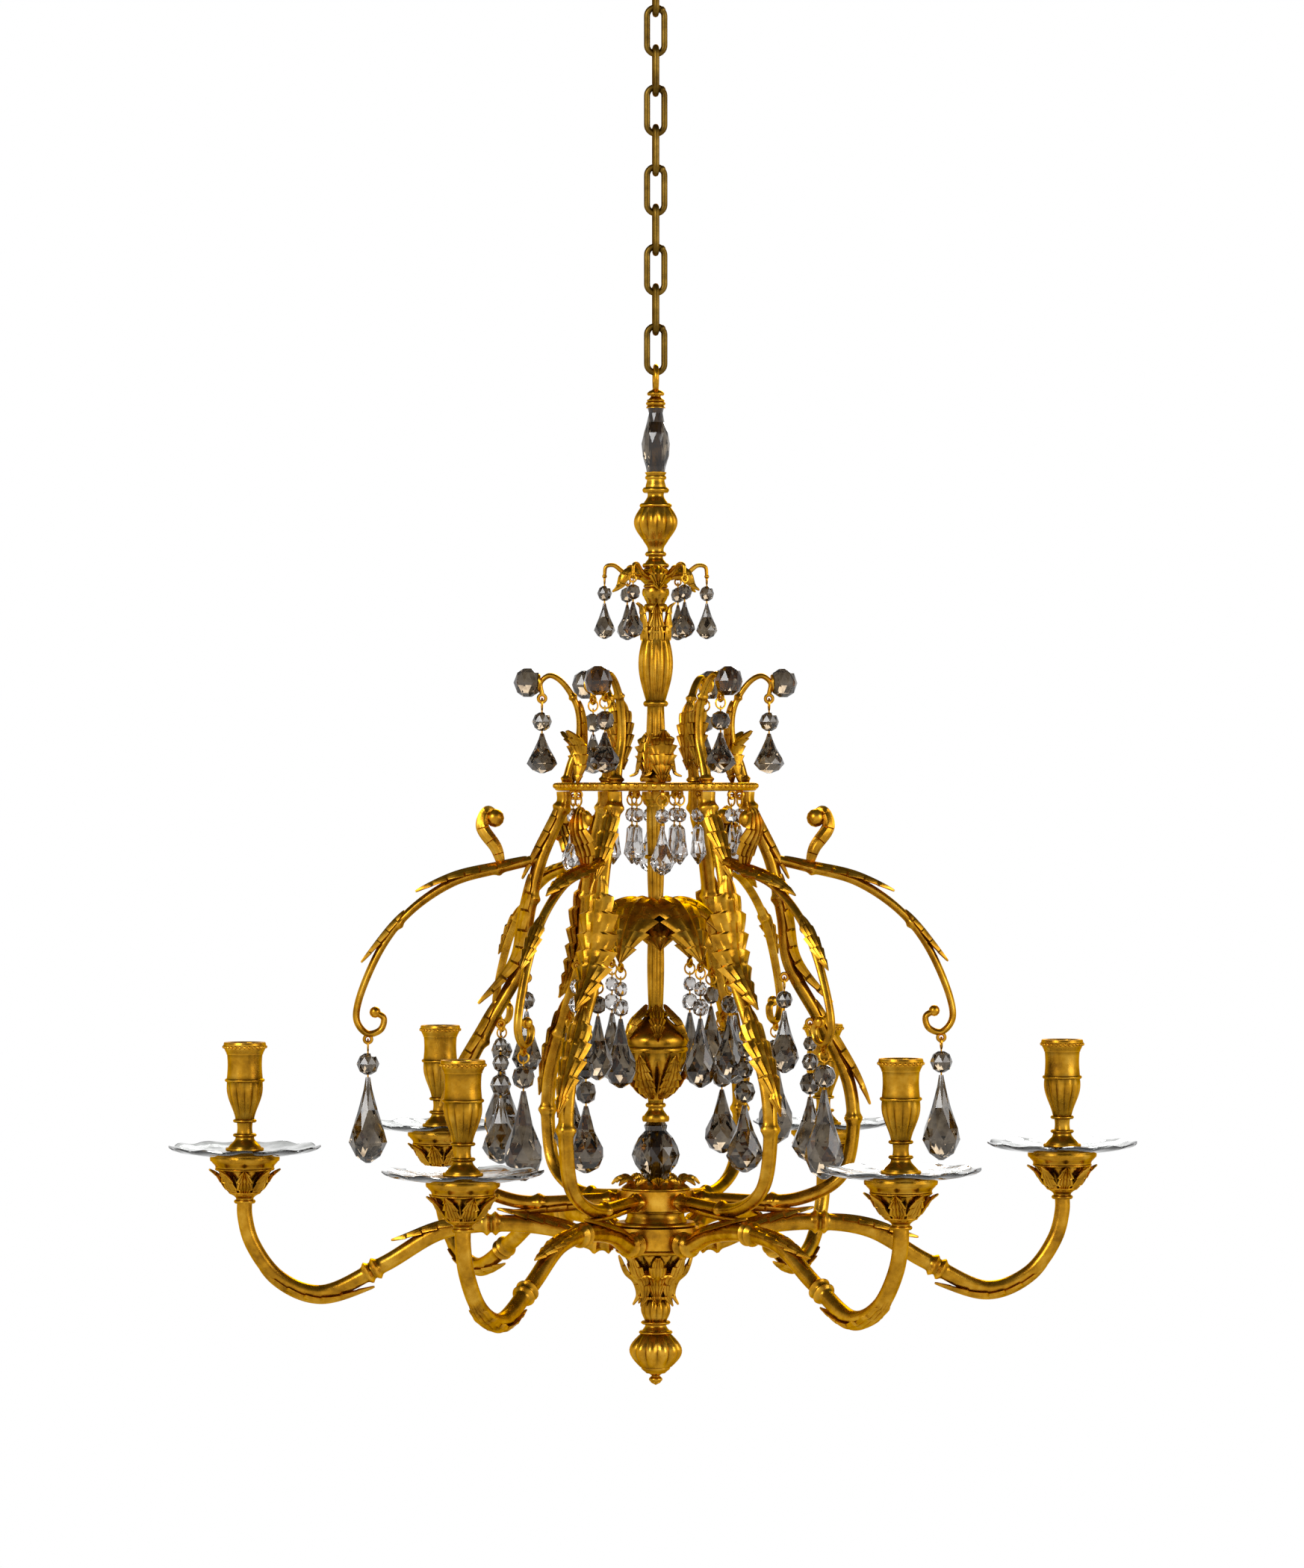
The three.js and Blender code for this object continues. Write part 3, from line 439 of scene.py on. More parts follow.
def node(tree, kind, links=(), stops=(), **settings):
    """Adds a node. A setting is an input's name with underscores for spaces, or a property. Links are
    (input, from node, its output), and stops are a colour ramp's (place, hex colour)."""
    made = tree.nodes.new(kind)
    for name, value in settings.items():
        socket = made.inputs.get(name.replace("_", " "))
        if socket is not None:
            socket.default_value = value
        else:
            setattr(made, name, value)
    for i, (place, colour) in enumerate(stops):
        stop = made.color_ramp.elements[i] if i < 2 else made.color_ramp.elements.new(place)
        stop.position = place
        stop.color = linear(colour)
    for name, source, output in links:
        tree.links.new(source.outputs[output], made.inputs[name])
    return made


def blank(name):
    """A new material, its node tree, its shader and the link that puts a pattern on Object coordinates."""
    material = bpy.data.materials.new(name)
    material.use_nodes = True
    tree = material.node_tree
    place = node(tree, "ShaderNodeTexCoord")
    return material, tree, tree.nodes["Principled BSDF"], [("Vector", place, "Object")]


def brass(name, stops, edge, rough, grain_mm, hollow_shade_and_wear):
    """Cast and lacquered brass. The colour wanders through the stops in patches, raised edges are rubbed
    bright and hollows are darkened with painted shade, and a fine cast grain breaks up the gloss."""
    material, tree, shader, at = blank(name)
    shader.inputs["Metallic"].default_value = 1.0
    shader.inputs["Specular Tint"].default_value = linear(edge)
    patches = node(tree, "ShaderNodeTexNoise", at, Scale=PATCHES_PER_M, Detail=5.0, Roughness=0.6)
    colour = node(tree, "ShaderNodeValToRGB", [("Fac", patches, "Fac")], stops)
    shape = node(tree, "ShaderNodeNewGeometry")
    # Painted shade: the base colour is multiplied darker in hollows (low pointiness), while raised edges keep
    # it as rubbed wear.
    shaded_hollow_to_worn_edge = [(0.44, "#3a3a3a"), (0.5, "#c8c8c8"), (0.56, "#ffffff")]
    hollow_shade_and_edge_wear = node(tree, "ShaderNodeValToRGB", [("Fac", shape, "Pointiness")], shaded_hollow_to_worn_edge)
    both = [(6, colour, "Color"), (7, hollow_shade_and_edge_wear, "Color")]
    toned_and_shaded = node(tree, "ShaderNodeMix", both, data_type="RGBA", blend_type="MULTIPLY", Factor=hollow_shade_and_wear)
    tree.links.new(toned_and_shaded.outputs[2], shader.inputs["Base Color"])
    rubbed = node(tree, "ShaderNodeTexNoise", at, Scale=RUBBED_PER_M, Detail=3.0)
    low, high = rough
    sheen = node(tree, "ShaderNodeMapRange", [("Value", rubbed, "Fac")], To_Min=low, To_Max=high)
    tree.links.new(sheen.outputs["Result"], shader.inputs["Roughness"])
    grain = node(tree, "ShaderNodeTexNoise", at, Scale=1000 / grain_mm, Detail=4.0)
    bump = node(tree, "ShaderNodeBump", [("Height", grain, "Fac")], Strength=0.25, Distance=0.0002)
    tree.links.new(bump.outputs["Normal"], shader.inputs["Normal"])
    return material


def glass(name, colour, light, ior, wave_mm, wave):
    """Lead crystal or pressed glass: see-through with its own tint, a faint film that dulls some of the
    surface, and a shallow waviness left by polishing or by the mould."""
    material, tree, shader, at = blank(name)
    shader.inputs["Transmission Weight"].default_value = 1.0
    shader.inputs["IOR"].default_value = ior
    film = node(tree, "ShaderNodeTexNoise", at, Scale=FILM_PER_M, Detail=4.0)
    tint = node(tree, "ShaderNodeValToRGB", [("Fac", film, "Fac")], [(0.35, colour), (0.7, light)])
    tree.links.new(tint.outputs["Color"], shader.inputs["Base Color"])
    dull = node(tree, "ShaderNodeMapRange", [("Value", film, "Fac")], To_Min=0.0, To_Max=0.06)
    tree.links.new(dull.outputs["Result"], shader.inputs["Roughness"])
    waves = node(tree, "ShaderNodeTexNoise", at, Scale=1000 / wave_mm, Detail=1.0)
    bump = node(tree, "ShaderNodeBump", [("Height", waves, "Fac")], Strength=wave, Distance=0.0005)
    tree.links.new(bump.outputs["Normal"], shader.inputs["Normal"])
    return material


# Cast brass, gilt and burnished: a deep warm yellow whose edges catch the white light
GILT = brass(
    "gilt_brass_burnished", [(0.3, "#94651a"), (0.5, "#c98f22"), (0.7, "#e3ad3c")], "#f2cf7a",
    rough=(0.2, 0.38), grain_mm=0.9, hollow_shade_and_wear=0.75,
)
# The same metal left ungilt and dulled by age: brown, with a soft sheen
AGED = brass(
    "aged_brass_dull", [(0.3, "#4d3814"), (0.55, "#70551f"), (0.75, "#8c6d2f")], "#bd9c56",
    rough=(0.32, 0.55), grain_mm=0.7, hollow_shade_and_wear=0.6,
)
# Smoky lead crystal, cut and polished: dark facets with white sparks in them
CRYSTAL = glass("lead_crystal_cut", "#3d3328", "#7c6f5c", ior=1.56, wave_mm=14, wave=0.1)
# Lead crystal with hardly any smoke in it: pale stones that show their facets as grey lines
CLEAR_CRYSTAL = glass("lead_crystal_clear", "#aaa6a4", "#dedbd8", ior=1.56, wave_mm=14, wave=0.1)
# Pressed glass: almost unseen, with a wavy gloss along its ridges and a dark line at its rim
PAN_GLASS = glass("pressed_glass_clear", "#b9bbb8", "#e6e8e6", ior=1.5, wave_mm=9, wave=0.35)


# Pieces

def mesh_object(name, shells, material):
    """An object at the origin whose mesh holds all the shells, in metres."""
    starts = np.cumsum([0] + [len(shell[0]) for shell in shells[:-1]])
    points = np.vstack([shell[0] for shell in shells])
    quads = np.vstack([shell[1] + start for shell, start in zip(shells, starts)])
    tris = np.vstack([shell[2] + start for shell, start in zip(shells, starts)])
    mesh = bpy.data.meshes.new(name)
    mesh.from_pydata((points / 1000).tolist(), [], quads.tolist() + tris.tolist())
    mesh.materials.append(material)
    made = bpy.data.objects.new(name, mesh)
    bpy.context.scene.collection.objects.link(made)
    return made


def piece(name, shells, material, slot, body=FRAME_BODY, stands_for=(), flat=False):
    """Makes one object of the shells, in place, riding on its body. Faces are smooth across gentle bends and
    sharp at real edges, or all flat on cut stone."""
    made = mesh_object(name, shells, material)
    faces = made.data.polygons
    faces.foreach_set("use_smooth", [not flat] * len(faces))
    if not flat:
        made.data.set_sharp_from_angle(angle=SHARP_ANGLE)
    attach(made, body)
    if stands_for:
        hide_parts(*stands_for)


# A piece in each finish

def gilt(name, shells, **how):
    piece(name, shells, GILT, "gilt_brass", **how)


def aged(name, shells, **how):
    piece(name, shells, AGED, "aged_brass", **how)


def crystal(name, shells, **how):
    piece(name, shells, CRYSTAL, "cut_crystal", flat=True, **how)


def clear_crystal(name, shells, **how):
    piece(name, shells, CLEAR_CRYSTAL, "cut_crystal", flat=True, **how)


def pressed(name, shells, **how):
    piece(name, shells, PAN_GLASS, "pan_glass", **how)


def at_candle(shells):
    """Shells made round the stem, moved out to the first candle."""
    return [moved(shell, [ARM_REACH, 0, 0]) for shell in shells]


def one_each(make, name, shells, node_name):
    """A piece for each light: the shells turned to its place round the stem, standing for its own node."""
    for i, angle in enumerate(ring(LIGHTS), 1):
        make(f"{name}_{i}", [spun(shell, angle) for shell in shells], stands_for=[f"{node_name}_{i}"])


# Ceiling fitting and chain

def ceiling_fitting():
    """A moulded rose with three domed screws, and a round hook screwed into it."""
    low, high = heights("ceiling_rose")
    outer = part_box("ceiling_rose")[1].x * 1000
    plate = turned(moulding(
        low, high - low, (0, 0, outer * 0.4), (0.22, outer * 0.42, outer * 0.42, 1.2),
        (0.36, outer * 0.45, outer * 0.86, -1.6), (0.16, outer * 0.9, outer * 0.94, 1.0),
        (0.26, outer, outer), (0, outer, 0),
    ), 72)
    aged("rose_plate", [plate], body="ceiling_fitting", stands_for=["ceiling_rose"])
    screw_circle, head_r, half_slot = outer * 0.68, 3.6, 0.35
    head = turned(moulding(low + 1.2, 3.4, (0.6, 0.2, head_r, 0.5), (0.4, head_r, head_r)), 24)
    slot_end = head_r * 1.02
    slot = [[-slot_end, -half_slot], [slot_end, -half_slot], [slot_end, half_slot], [-slot_end, half_slot]]
    bar = np.stack([np.column_stack([slot, np.full(4, z)]) for z in (low + 1.0, low + 1.9)])
    screws = all_round([moved(shell, [screw_circle, 0, 0]) for shell in (head, skin(bar))], 3)
    aged("rose_screws", screws, body="ceiling_fitting")
    bend_z = heights("ceiling_hook")[0] + HOOK_WIRE + HOOK_R
    angles = np.radians([60, 20, -20, -55, -90, -125, -160, -195])
    bend = [[HOOK_R * np.cos(a), bend_z + HOOK_R * np.sin(a)] for a in angles]
    collar_z = low - 5.3
    path = radial([[0, low + 2], [0, collar_z], [0, bend_z + 1.75 * HOOK_R], *bend], 120)
    t = np.linspace(0, 1, len(path))
    taper = HOOK_WIRE * (1 - 0.55 * np.clip((t - 0.93) / 0.07, 0, 1) ** 2)
    collar = turned(moulding(
        collar_z, 5.0, (0, 0, 4.5), (0.3, 4.5, 7.0), (0.4, 7.5, 7.5, 0.6), (0.3, 7.0, 5.0),
        (0, 5, 0),
    ), 40)
    aged("hook_wire", [wire(path, taper, 18), collar], body="ceiling_fitting", stands_for=["ceiling_hook"])


def chain():
    """Oval links of drawn wire with a soldered seam, each crosswise to the next: half circles joined by
    straight runs."""
    half_turn = np.linspace(0, np.pi, 17)
    for i in range(1, 11):
        low, high = (np.array(corner) * 1000 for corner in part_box(f"chain_link_{i}"))
        wide = high - low
        across = 1 if wide[1] > wide[0] else 0
        bend = wide[across] / 2 - LINK_WIRE
        straight = wide[2] / 2 - LINK_WIRE - bend
        u = np.concatenate([bend * np.cos(half_turn), -bend * np.cos(half_turn)])
        v = np.concatenate([straight + bend * np.sin(half_turn), -straight - bend * np.sin(half_turn)])
        path = np.zeros((len(u), 3))
        path[:, across] = u
        path[:, 2] = (low[2] + high[2]) / 2 + v
        side = np.zeros(3)
        side[1 - across] = 1
        link = wire(path, LINK_WIRE, 12, side, closed=True)
        seam = moved(bead([0, 0, 0], LINK_WIRE * 1.25), path[4])
        aged(f"link_wire_{i}", [link, seam], body=f"link_{i}", stands_for=[f"chain_link_{i}"])


# The stack on the rod

def hanging_loop():
    """A closed ring of wire that stands on a turned boss."""
    low, high = heights("hanging_loop")
    centre = high - LOOP_WIRE - LOOP_R
    angle = ring(48)
    path = np.stack([0 * angle, LOOP_R * np.cos(angle), centre + LOOP_R * np.sin(angle)], axis=1)
    ring_wire = wire(path, LOOP_WIRE, 14, np.array([1.0, 0, 0]), closed=True)
    boss = turned(moulding(
        low, LOOP_BOSS_H + 1, (0, 0, 5.4), (0.2, 5.6, 5.6, 0.6), (0.3, 5, 3.6, -0.4),
        (0.35, 5.4, 4.6, 1.0), (0.15, 4, 2.2), (0, 2.2, 0),
    ), 40)
    gilt("loop_ring", [ring_wire, boss], stands_for=["hanging_loop"])


def neck_crystal():
    """A cut baluster between two turned caps, given by the radii of its rings at shares of its height."""
    low, high = heights("neck_crystal")
    shares = [0, 0.07, 0.16, 0.3, 0.46, 0.6, 0.74, 0.86, 0.94, 1]
    radii = [4.5, 6.4, 7.0, 9.6, 10.0, 8.8, 6.2, 5.0, 6.0, 5.0]
    stone = cut_column(radii, [mix(low, high, s) for s in shares])
    crystal("neck_stone", [stone], stands_for=["neck_crystal"])
    lower_cap = moulding(low - 0.2, 5, (0, 0, 6.6), (0.5, 7.0, 7.0, 0.5), (0.5, 6.4, 7.6), (0, 7.6, 0))
    upper_cap = moulding(high - 4, 4.2, (0, 0, 6.8), (0.5, 6.8, 5.8), (0.5, 6.4, 6.4, 0.5), (0, 6.4, 0))
    gilt("neck_caps", [turned(lower_cap), turned(upper_cap)])


def top_vase():
    """A vase with a lobed belly between beads and coves."""
    low, high = heights("top_vase")
    body = turned(moulding(
        low, high - low, (0, 0, 8), (0.05, 8.6, 8.6, 0.8), (0.08, 7.6, 5.2, -0.6),
        (0.05, 6.6, 6.6, 0.9), (0.14, 5.8, 9.2, -1.0), (0.36, 9.4, 11.0, 5.4, 1),
        (0.05, 10.4, 10.4, 1.0), (0.12, 8.6, 6, -1.0), (0.06, 8.4, 8.4, 1.0), (0.09, 7.2, 6.2),
        (0, 6.2, 0),
    ), 96)
    gilt("vase_turned", [body], stands_for=["top_vase"])


def top_crown():
    """A boss with six wire hooks between six drooping leaves, and a small crystal on each hook."""
    low = heights("top_crown")[0]
    middle = low + 7
    boss = turned(moulding(
        low, 14, (0, 0, 7.6), (0.18, 7.8, 7.8, 0.8), (0.22, 8, 10.4), (0.22, 11, 11, 0.8),
        (0.2, 10.4, 8.2), (0.18, 7.8, 7.8, 0.8), (0, 7.6, 0),
    ), 60)
    hook_path = radial([
        [CROWN_BOSS_R * 0.75, middle], [mix(CROWN_BOSS_R, CROWN_REACH, 0.4), middle + 3],
        [mix(CROWN_BOSS_R, CROWN_REACH, 0.75), middle + 9], [CROWN_REACH * 0.97, middle + 8],
        [CROWN_REACH, middle + 2],
    ], 50)
    hook = wire(hook_path, np.linspace(2.1, 1.2, 50), 10)
    droop = radial([
        [9, middle + 3], [16, middle + 7], [25, middle + 4], [30, middle - 6], [34, middle - 9],
    ], 60)
    frond = leaf(droop, 7.5, 1.3, teeth=5, cup=-0.35)
    shells = [boss] + all_round([hook, bead([CROWN_REACH, 0, middle + 1.2], 1.7)])
    shells += all_round([frond], start=HALF_STEP)
    gilt("crown_leaves", shells, stands_for=["top_crown"])
    eye = np.array([CROWN_REACH, 0, middle + 1.0])
    stones, wires = hanging(eye, (BEAD, 5.2, 10.4), (PEAR, 7.5, 25), ring_r=2.4)
    crystal("crown_crystals", all_round(stones))
    gilt("crown_pins", all_round(wires))


def stem():
    """A shaft with a lobed swelling above a reeded length, and leaves that cover both of its ends."""
    low, high = heights("stem")
    body = turned(moulding(
        low, high - low, (0, 0, 10), (0.03, 10.4, 10.4, 0.8), (0.05, 9.6, 6.4, -0.8),
        (0.03, 7.6, 7.6, 1.0), (0.28, 6.6, 6.0, 0.4, 1), (0.03, 7.6, 7.6, 1.2), (0.34, 7.0, 8.8, 4.4, 1),
        (0.03, 9.4, 9.4, 1), (0.09, 6.8, 5.2, -0.6), (0.04, 7.4, 7.4, 1.2), (0.04, 6.4, 8.4),
        (0.04, 9, 9, 0.6), (0, 8.8, 0),
    ), 84)
    base = radial([
        [7.6, low + 34], [10.5, low + 24], [12.4, low + 12], [14.0, low + 6], [18.5, low + 4],
    ], 50)
    top = radial([
        [6.2, high - 46], [8.6, high - 34], [9.6, high - 22], [11.5, high - 13], [15.5, high - 10],
    ], 50)
    leaves = all_round([leaf(base, 6.4, 1.1, teeth=5)])
    leaves += all_round([leaf(top, 5.6, 1.0, teeth=4)], start=HALF_STEP)
    gilt("stem_turned", [body] + leaves, stands_for=["stem"])


def corona():
    """A moulded band edged with pearls, flat spokes, a scroll bracket over each rib and a palmette between.
    The band's section is an oval squared off by powers below one of its cosine and sine."""
    inner, outer = CORONA_R - CORONA_BAND / 2, CORONA_R + CORONA_BAND / 2
    pearl_r = 2.1
    t = ring(40)
    profile = np.stack([
        CORONA_R + (CORONA_BAND / 2) * np.sign(np.cos(t)) * np.abs(np.cos(t)) ** 0.35,
        (corona_z + corona_top) / 2 + (CORONA_H / 2) * np.sign(np.sin(t)) * np.abs(np.sin(t)) ** 0.6,
        0 * t,
    ], axis=1)
    shells = [turned(profile, 120, closed=True)]
    shells += all_round([bead([outer - 0.6, 0, corona_top - 2.4], pearl_r, 8)], 72)
    boss = turned(moulding(
        corona_z, CORONA_H + 4, (0, 0, 10), (0.4, CORONA_BOSS_R, CORONA_BOSS_R, 0.8), (0.3, 9, 7, -0.4),
        (0.3, 8, 8, 0.9), (0, 8, 0),
    ), 48)
    spoke_path = radial([[7, corona_z + 2.4], [30, corona_z + 3.4], [inner + 2, corona_z + 2.6]], 40)
    u = np.linspace(0, 1, 40)[:, None]
    angle = ring(16)[None, :]
    spoke_half = 3.2 + 2.2 * np.cos(2 * np.pi * u) ** 2
    spoke = carried(spoke_path, 1.8 * np.sin(angle) + 0 * u, spoke_half * np.cos(angle))
    top = corona_top + CORONA_TIP_RISE
    tip_z = top - CORONA_CURL_R
    bracket_path = radial([
        [CORONA_R - CORONA_SWAY * 0.1, corona_top - CORONA_H / 2],
        [CORONA_R - CORONA_SWAY * 0.45, corona_top + CORONA_TIP_RISE * 0.16],
        [CORONA_R - CORONA_SWAY, corona_top + CORONA_TIP_RISE * 0.4],
        [CORONA_R - CORONA_SWAY * 0.9, corona_top + CORONA_TIP_RISE * 0.7],
        [mix(CORONA_R, CORONA_TIP_R, 0.1), top - CORONA_CURL_R * 0.8],
        [mix(CORONA_R, CORONA_TIP_R, 0.65), top],
        [CORONA_TIP_R + 1, tip_z], [CORONA_TIP_R, corona_eye[2] + EYE_R - 1],
    ], 140)
    s = np.linspace(0, 1, 140)[:, None]
    size = mix(1, 0.55, s) * (1 + 0.5 * bells(s, (0.05, 0.62), 0.014))
    bracket = carried(bracket_path, 3.0 * size * np.cos(angle), 4.2 * size * np.sin(angle))
    eyes = [eye_ring(corona_eye), eye_ring(spoke_eye)]
    back_leaf = lying_leaf(bracket_path[::-1], 0.42, 0.86, 9.5, 1.4, -3.0, -7.0, teeth=6, cup=0.25)
    dish = np.array([[0.01, 0, 0], [5.6, 0, 0], [6.4, 1.2, 0], [6.0, 2.6, 0], [0.01, 2.6, 0]])
    points, quads, tris = turned(dish, 24)
    setting = oriented((points[:, [2, 1, 0]] + [CORONA_TIP_R + 1.2, 0, tip_z], quads, tris))
    crest = radial([
        [CORONA_R + 1, corona_top - 2], [CORONA_R - 3, corona_top + 14], [CORONA_R - 1, corona_top + 28],
        [CORONA_R + 9, corona_top + 36],
    ], 60)
    palmette = leaf(crest[::-1], 11, 1.5, teeth=6, notch=0.35, cup=0.2)
    shells += [boss] + all_round([spoke, bracket, back_leaf, setting, *eyes])
    shells += all_round([palmette, eye_ring(band_eye)], start=HALF_STEP)
    gilt("corona_work", shells, stands_for=["corona"])
    tip = cut_column(TIP_STONE_R * BEAD[:, 0], tip_z + TIP_STONE_R * (1 - 2 * BEAD[:, 1]))
    crystal("corona_tip_stones", all_round([moved(tip, [CORONA_TIP_R + TIP_STONE_R, 0, 0])]))


def column():
    """A slender shaft with a turned ring, over a full-bellied vase that a cup of leaves holds from below and
    smaller leaves cover from its neck."""
    low, high = heights("centre_column")
    body = turned(moulding(
        low, high - low, (0, 0, 8.6), (4, 9.1, 9.1, 0.5), (6, 8.2, 5.4, -0.6), (3, 6.4, 6.4, 0.8),
        (2, 5.4, 5.4), (34, 5.6, 21.8, 1.4, 1), (3.5, 22.2, 22.2, 0.7), (21, 21.4, 8.0, 4.6),
        (3, 8.4, 8.4, 0.9), (4, 7.2, 5.4, -0.5), (58, 5.2, 5.2, 0.9, 1), (3, 5.8, 6.4, 0.4),
        (10, 7.4, 7.4, 1.1, 1), (3, 6.4, 5.8, 0.4), (30, 5.2, 5.8, 0.4, 1), (3, 7.0, 7.0, 0.9),
        (34, 5.6, 6.4, 0.4, 1), (5, 6.8, 9.0, -0.4), (5.5, 9.5, 9.5, 0.3), (0, 9.4, 0),
    ), 96)
    cup = radial([[6.4, low + 16], [13, low + 23], [19.6, low + 33], [23.4, low + 43], [26, low + 48]], 50)
    cape = radial([[7.4, low + 82], [12, low + 77], [18.8, low + 70], [23.2, low + 61], [25.6, low + 57]], 50)
    leaves = all_round([leaf(cup, 8.6, 1.3, teeth=6)])
    leaves += all_round([leaf(cape, 6.2, 1.1, teeth=5)], start=HALF_STEP)
    gilt("column_turned", [body] + leaves, stands_for=["centre_column"])


def canopy():
    """A bell of broad leaves that springs from the column's ring, with an eye under each long leaf's tip."""
    long_leaf = radial([
        [5.5, canopy_z + 3], [14, canopy_z + 9], [30, canopy_z + 5],
        [45, canopy_z - 10], [54, canopy_z - 27], [CANOPY_R, canopy_z - CANOPY_TIP_DROP],
    ], 90)
    short_leaf = radial([
        [5.5, canopy_z - 2], [13, canopy_z + 3], [26, canopy_z - 1],
        [37, canopy_z - 14], [44, canopy_z - 26],
    ], 80)
    fronds = all_round([leaf(long_leaf, 20, 1.8, teeth=6, notch=0.26, cup=-0.3)])
    fronds += all_round([leaf(short_leaf, 18, 1.7, teeth=5, notch=0.26, cup=-0.3)], start=HALF_STEP)
    collar = turned(moulding(
        canopy_z - 6, 12, (0, 0, 6), (0.3, 6.6, 8.6, 0.6), (0.4, 8.8, 8.8, 1.0), (0.3, 8.2, 6.4),
        (0, 6, 0),
    ), 48)
    gilt("canopy_leaves", [collar] + fronds + all_round([eye_ring(canopy_eye)]))


def core_crystal():
    """A twelve-sided cut column on the rod, under the vase."""
    low, high = heights("core_crystal")
    shares = [0, 0.06, 0.16, 0.3, 0.45, 0.6, 0.74, 0.86, 0.94, 1]
    radii = [6.5, 9.5, 10.5, 15.2, 17.0, 15.6, 12.0, 7.6, 8.2, 6.6]
    stone = cut_column(radii, [mix(low, high, s) for s in shares], 12)
    crystal("core_stone", [stone], stands_for=["core_crystal"])


def hub_and_finial():
    """A moulded hub with leaves under it and round its upper edge, and a turned nut that ends in a point."""
    low, high = heights("arm_hub")
    body = turned(moulding(
        low, high - low, (0, 0, 12), (0.06, 13, 13, 0.8), (0.2, 13, 22, 2.0, 1), (0.05, 27, 27, 1.4),
        (0.22, 30, 30), (0.05, 27, 27, 1.2), (0.1, 22, 20.5, -0.8), (0.03, 24, 24, 1),
        (0.2, 27, 27), (0.07, 24, 20, 0.8), (0, 19, 0),
    ), 96)
    over = radial([[18, high - 1], [23, high + 4], [27, high + 3], [31, high - 1]], 40)
    under = radial([[26, low + 16], [21, low + 4], [15, low - 2], [12.5, low - 12], [16, low - 19]], 50)
    fronds = all_round([leaf(under, 7.6, 1.3, teeth=5, cup=-0.3)], 8)
    rim = all_round([leaf(over, 5.2, 1.1, teeth=3)], 12)
    gilt("hub_turned", [body] + fronds + rim, stands_for=["arm_hub"])
    low, high = heights("finial")
    ball = turned(moulding(
        low, high - low, (0.03, 0.3, 3.4, 0.6), (0.05, 3.6, 3.2, 1.4), (0.03, 3.0, 5.0, -0.4),
        (0.06, 6.8, 10.0, 1.0), (0.3, 11.4, 10.8, 7.8, 1), (0.03, 11, 11, 0.9), (0.06, 9.6, 7.6, -0.6),
        (0.03, 9.4, 9.4, 1.0), (0.2, 7.6, 8.4, 2.6, 1), (0.04, 10.2, 10.2, 1.2), (0.08, 9.4, 12, -0.6),
        (0.07, 12, 12, 0.6), (0, 11.6, 0),
    ), 96)
    gilt("finial_turned", [ball], stands_for=["finial"])


# Cage, arms and cups

def flank(share_out, share_down):
    """A point of the rib between its shoulder and its belly."""
    radius = mix(SHOULDER_R, BELLY_R, share_out)
    return [radius, rib_top - mix(SHOULDER_DROP, BELLY_DROP, share_down)]


def outer_point(share_out, share_down):
    """A point of the outer scroll between its root and its curl."""
    fall = SCROLL_TIP_DROP - SCROLL_DROP
    return [mix(SHOULDER_R, SCROLL_REACH, share_out), corona_z - SCROLL_DROP - fall * share_down]


rib_path = radial([
    [CORONA_R, rib_top], [CORONA_R, rib_top - RIB_HEAD],
    [mix(CORONA_R, SHOULDER_R, 0.65), rib_top - SHOULDER_DROP * 0.55], [SHOULDER_R, rib_top - SHOULDER_DROP],
    flank(0.08, 0.22), flank(0.55, 0.52), flank(0.95, 0.82),
    [BELLY_R, rib_top - mix(BELLY_DROP, CAGE_H, 0.2)],
    [BELLY_R * 0.935, rib_top - mix(BELLY_DROP, CAGE_H, 0.72)], [BELLY_R * 0.72, rib_foot_z],
    [HUB_RIB_R + RIB_FOOT, rib_foot_z], [HUB_RIB_R, rib_foot_z],
], 260)
scroll_path = radial([
    [SHOULDER_R - 10, corona_z - SCROLL_DROP + 3], outer_point(0.15, 0.04), outer_point(0.44, 0.14),
    outer_point(0.72, 0.38), outer_point(0.9, 0.7), [SCROLL_REACH, curl_z - SCROLL_CURL_R],
    *([SCROLL_REACH - out * SCROLL_CURL_R, curl_z - down * SCROLL_CURL_R]
      for out, down in ((0.8, 2), (1.7, 1.7), (1.9, 0.9), (1.3, 0.5))),
], 200)


def inside_rib(z):
    """Where an eye sits on the rib's inner side, for a height on the rib's middle line."""
    at = int(np.argmin(np.abs(rib_path[:, 2] - z)))
    return beside(rib_path, -(RIB_HALF_THICK + EYE_R - EYE_SUNK))[at]


flank_eye = inside_rib(rib_top - FLANK_EYE_DROP)
belly_eye = inside_rib(rib_top - BELLY_EYE_DROP)


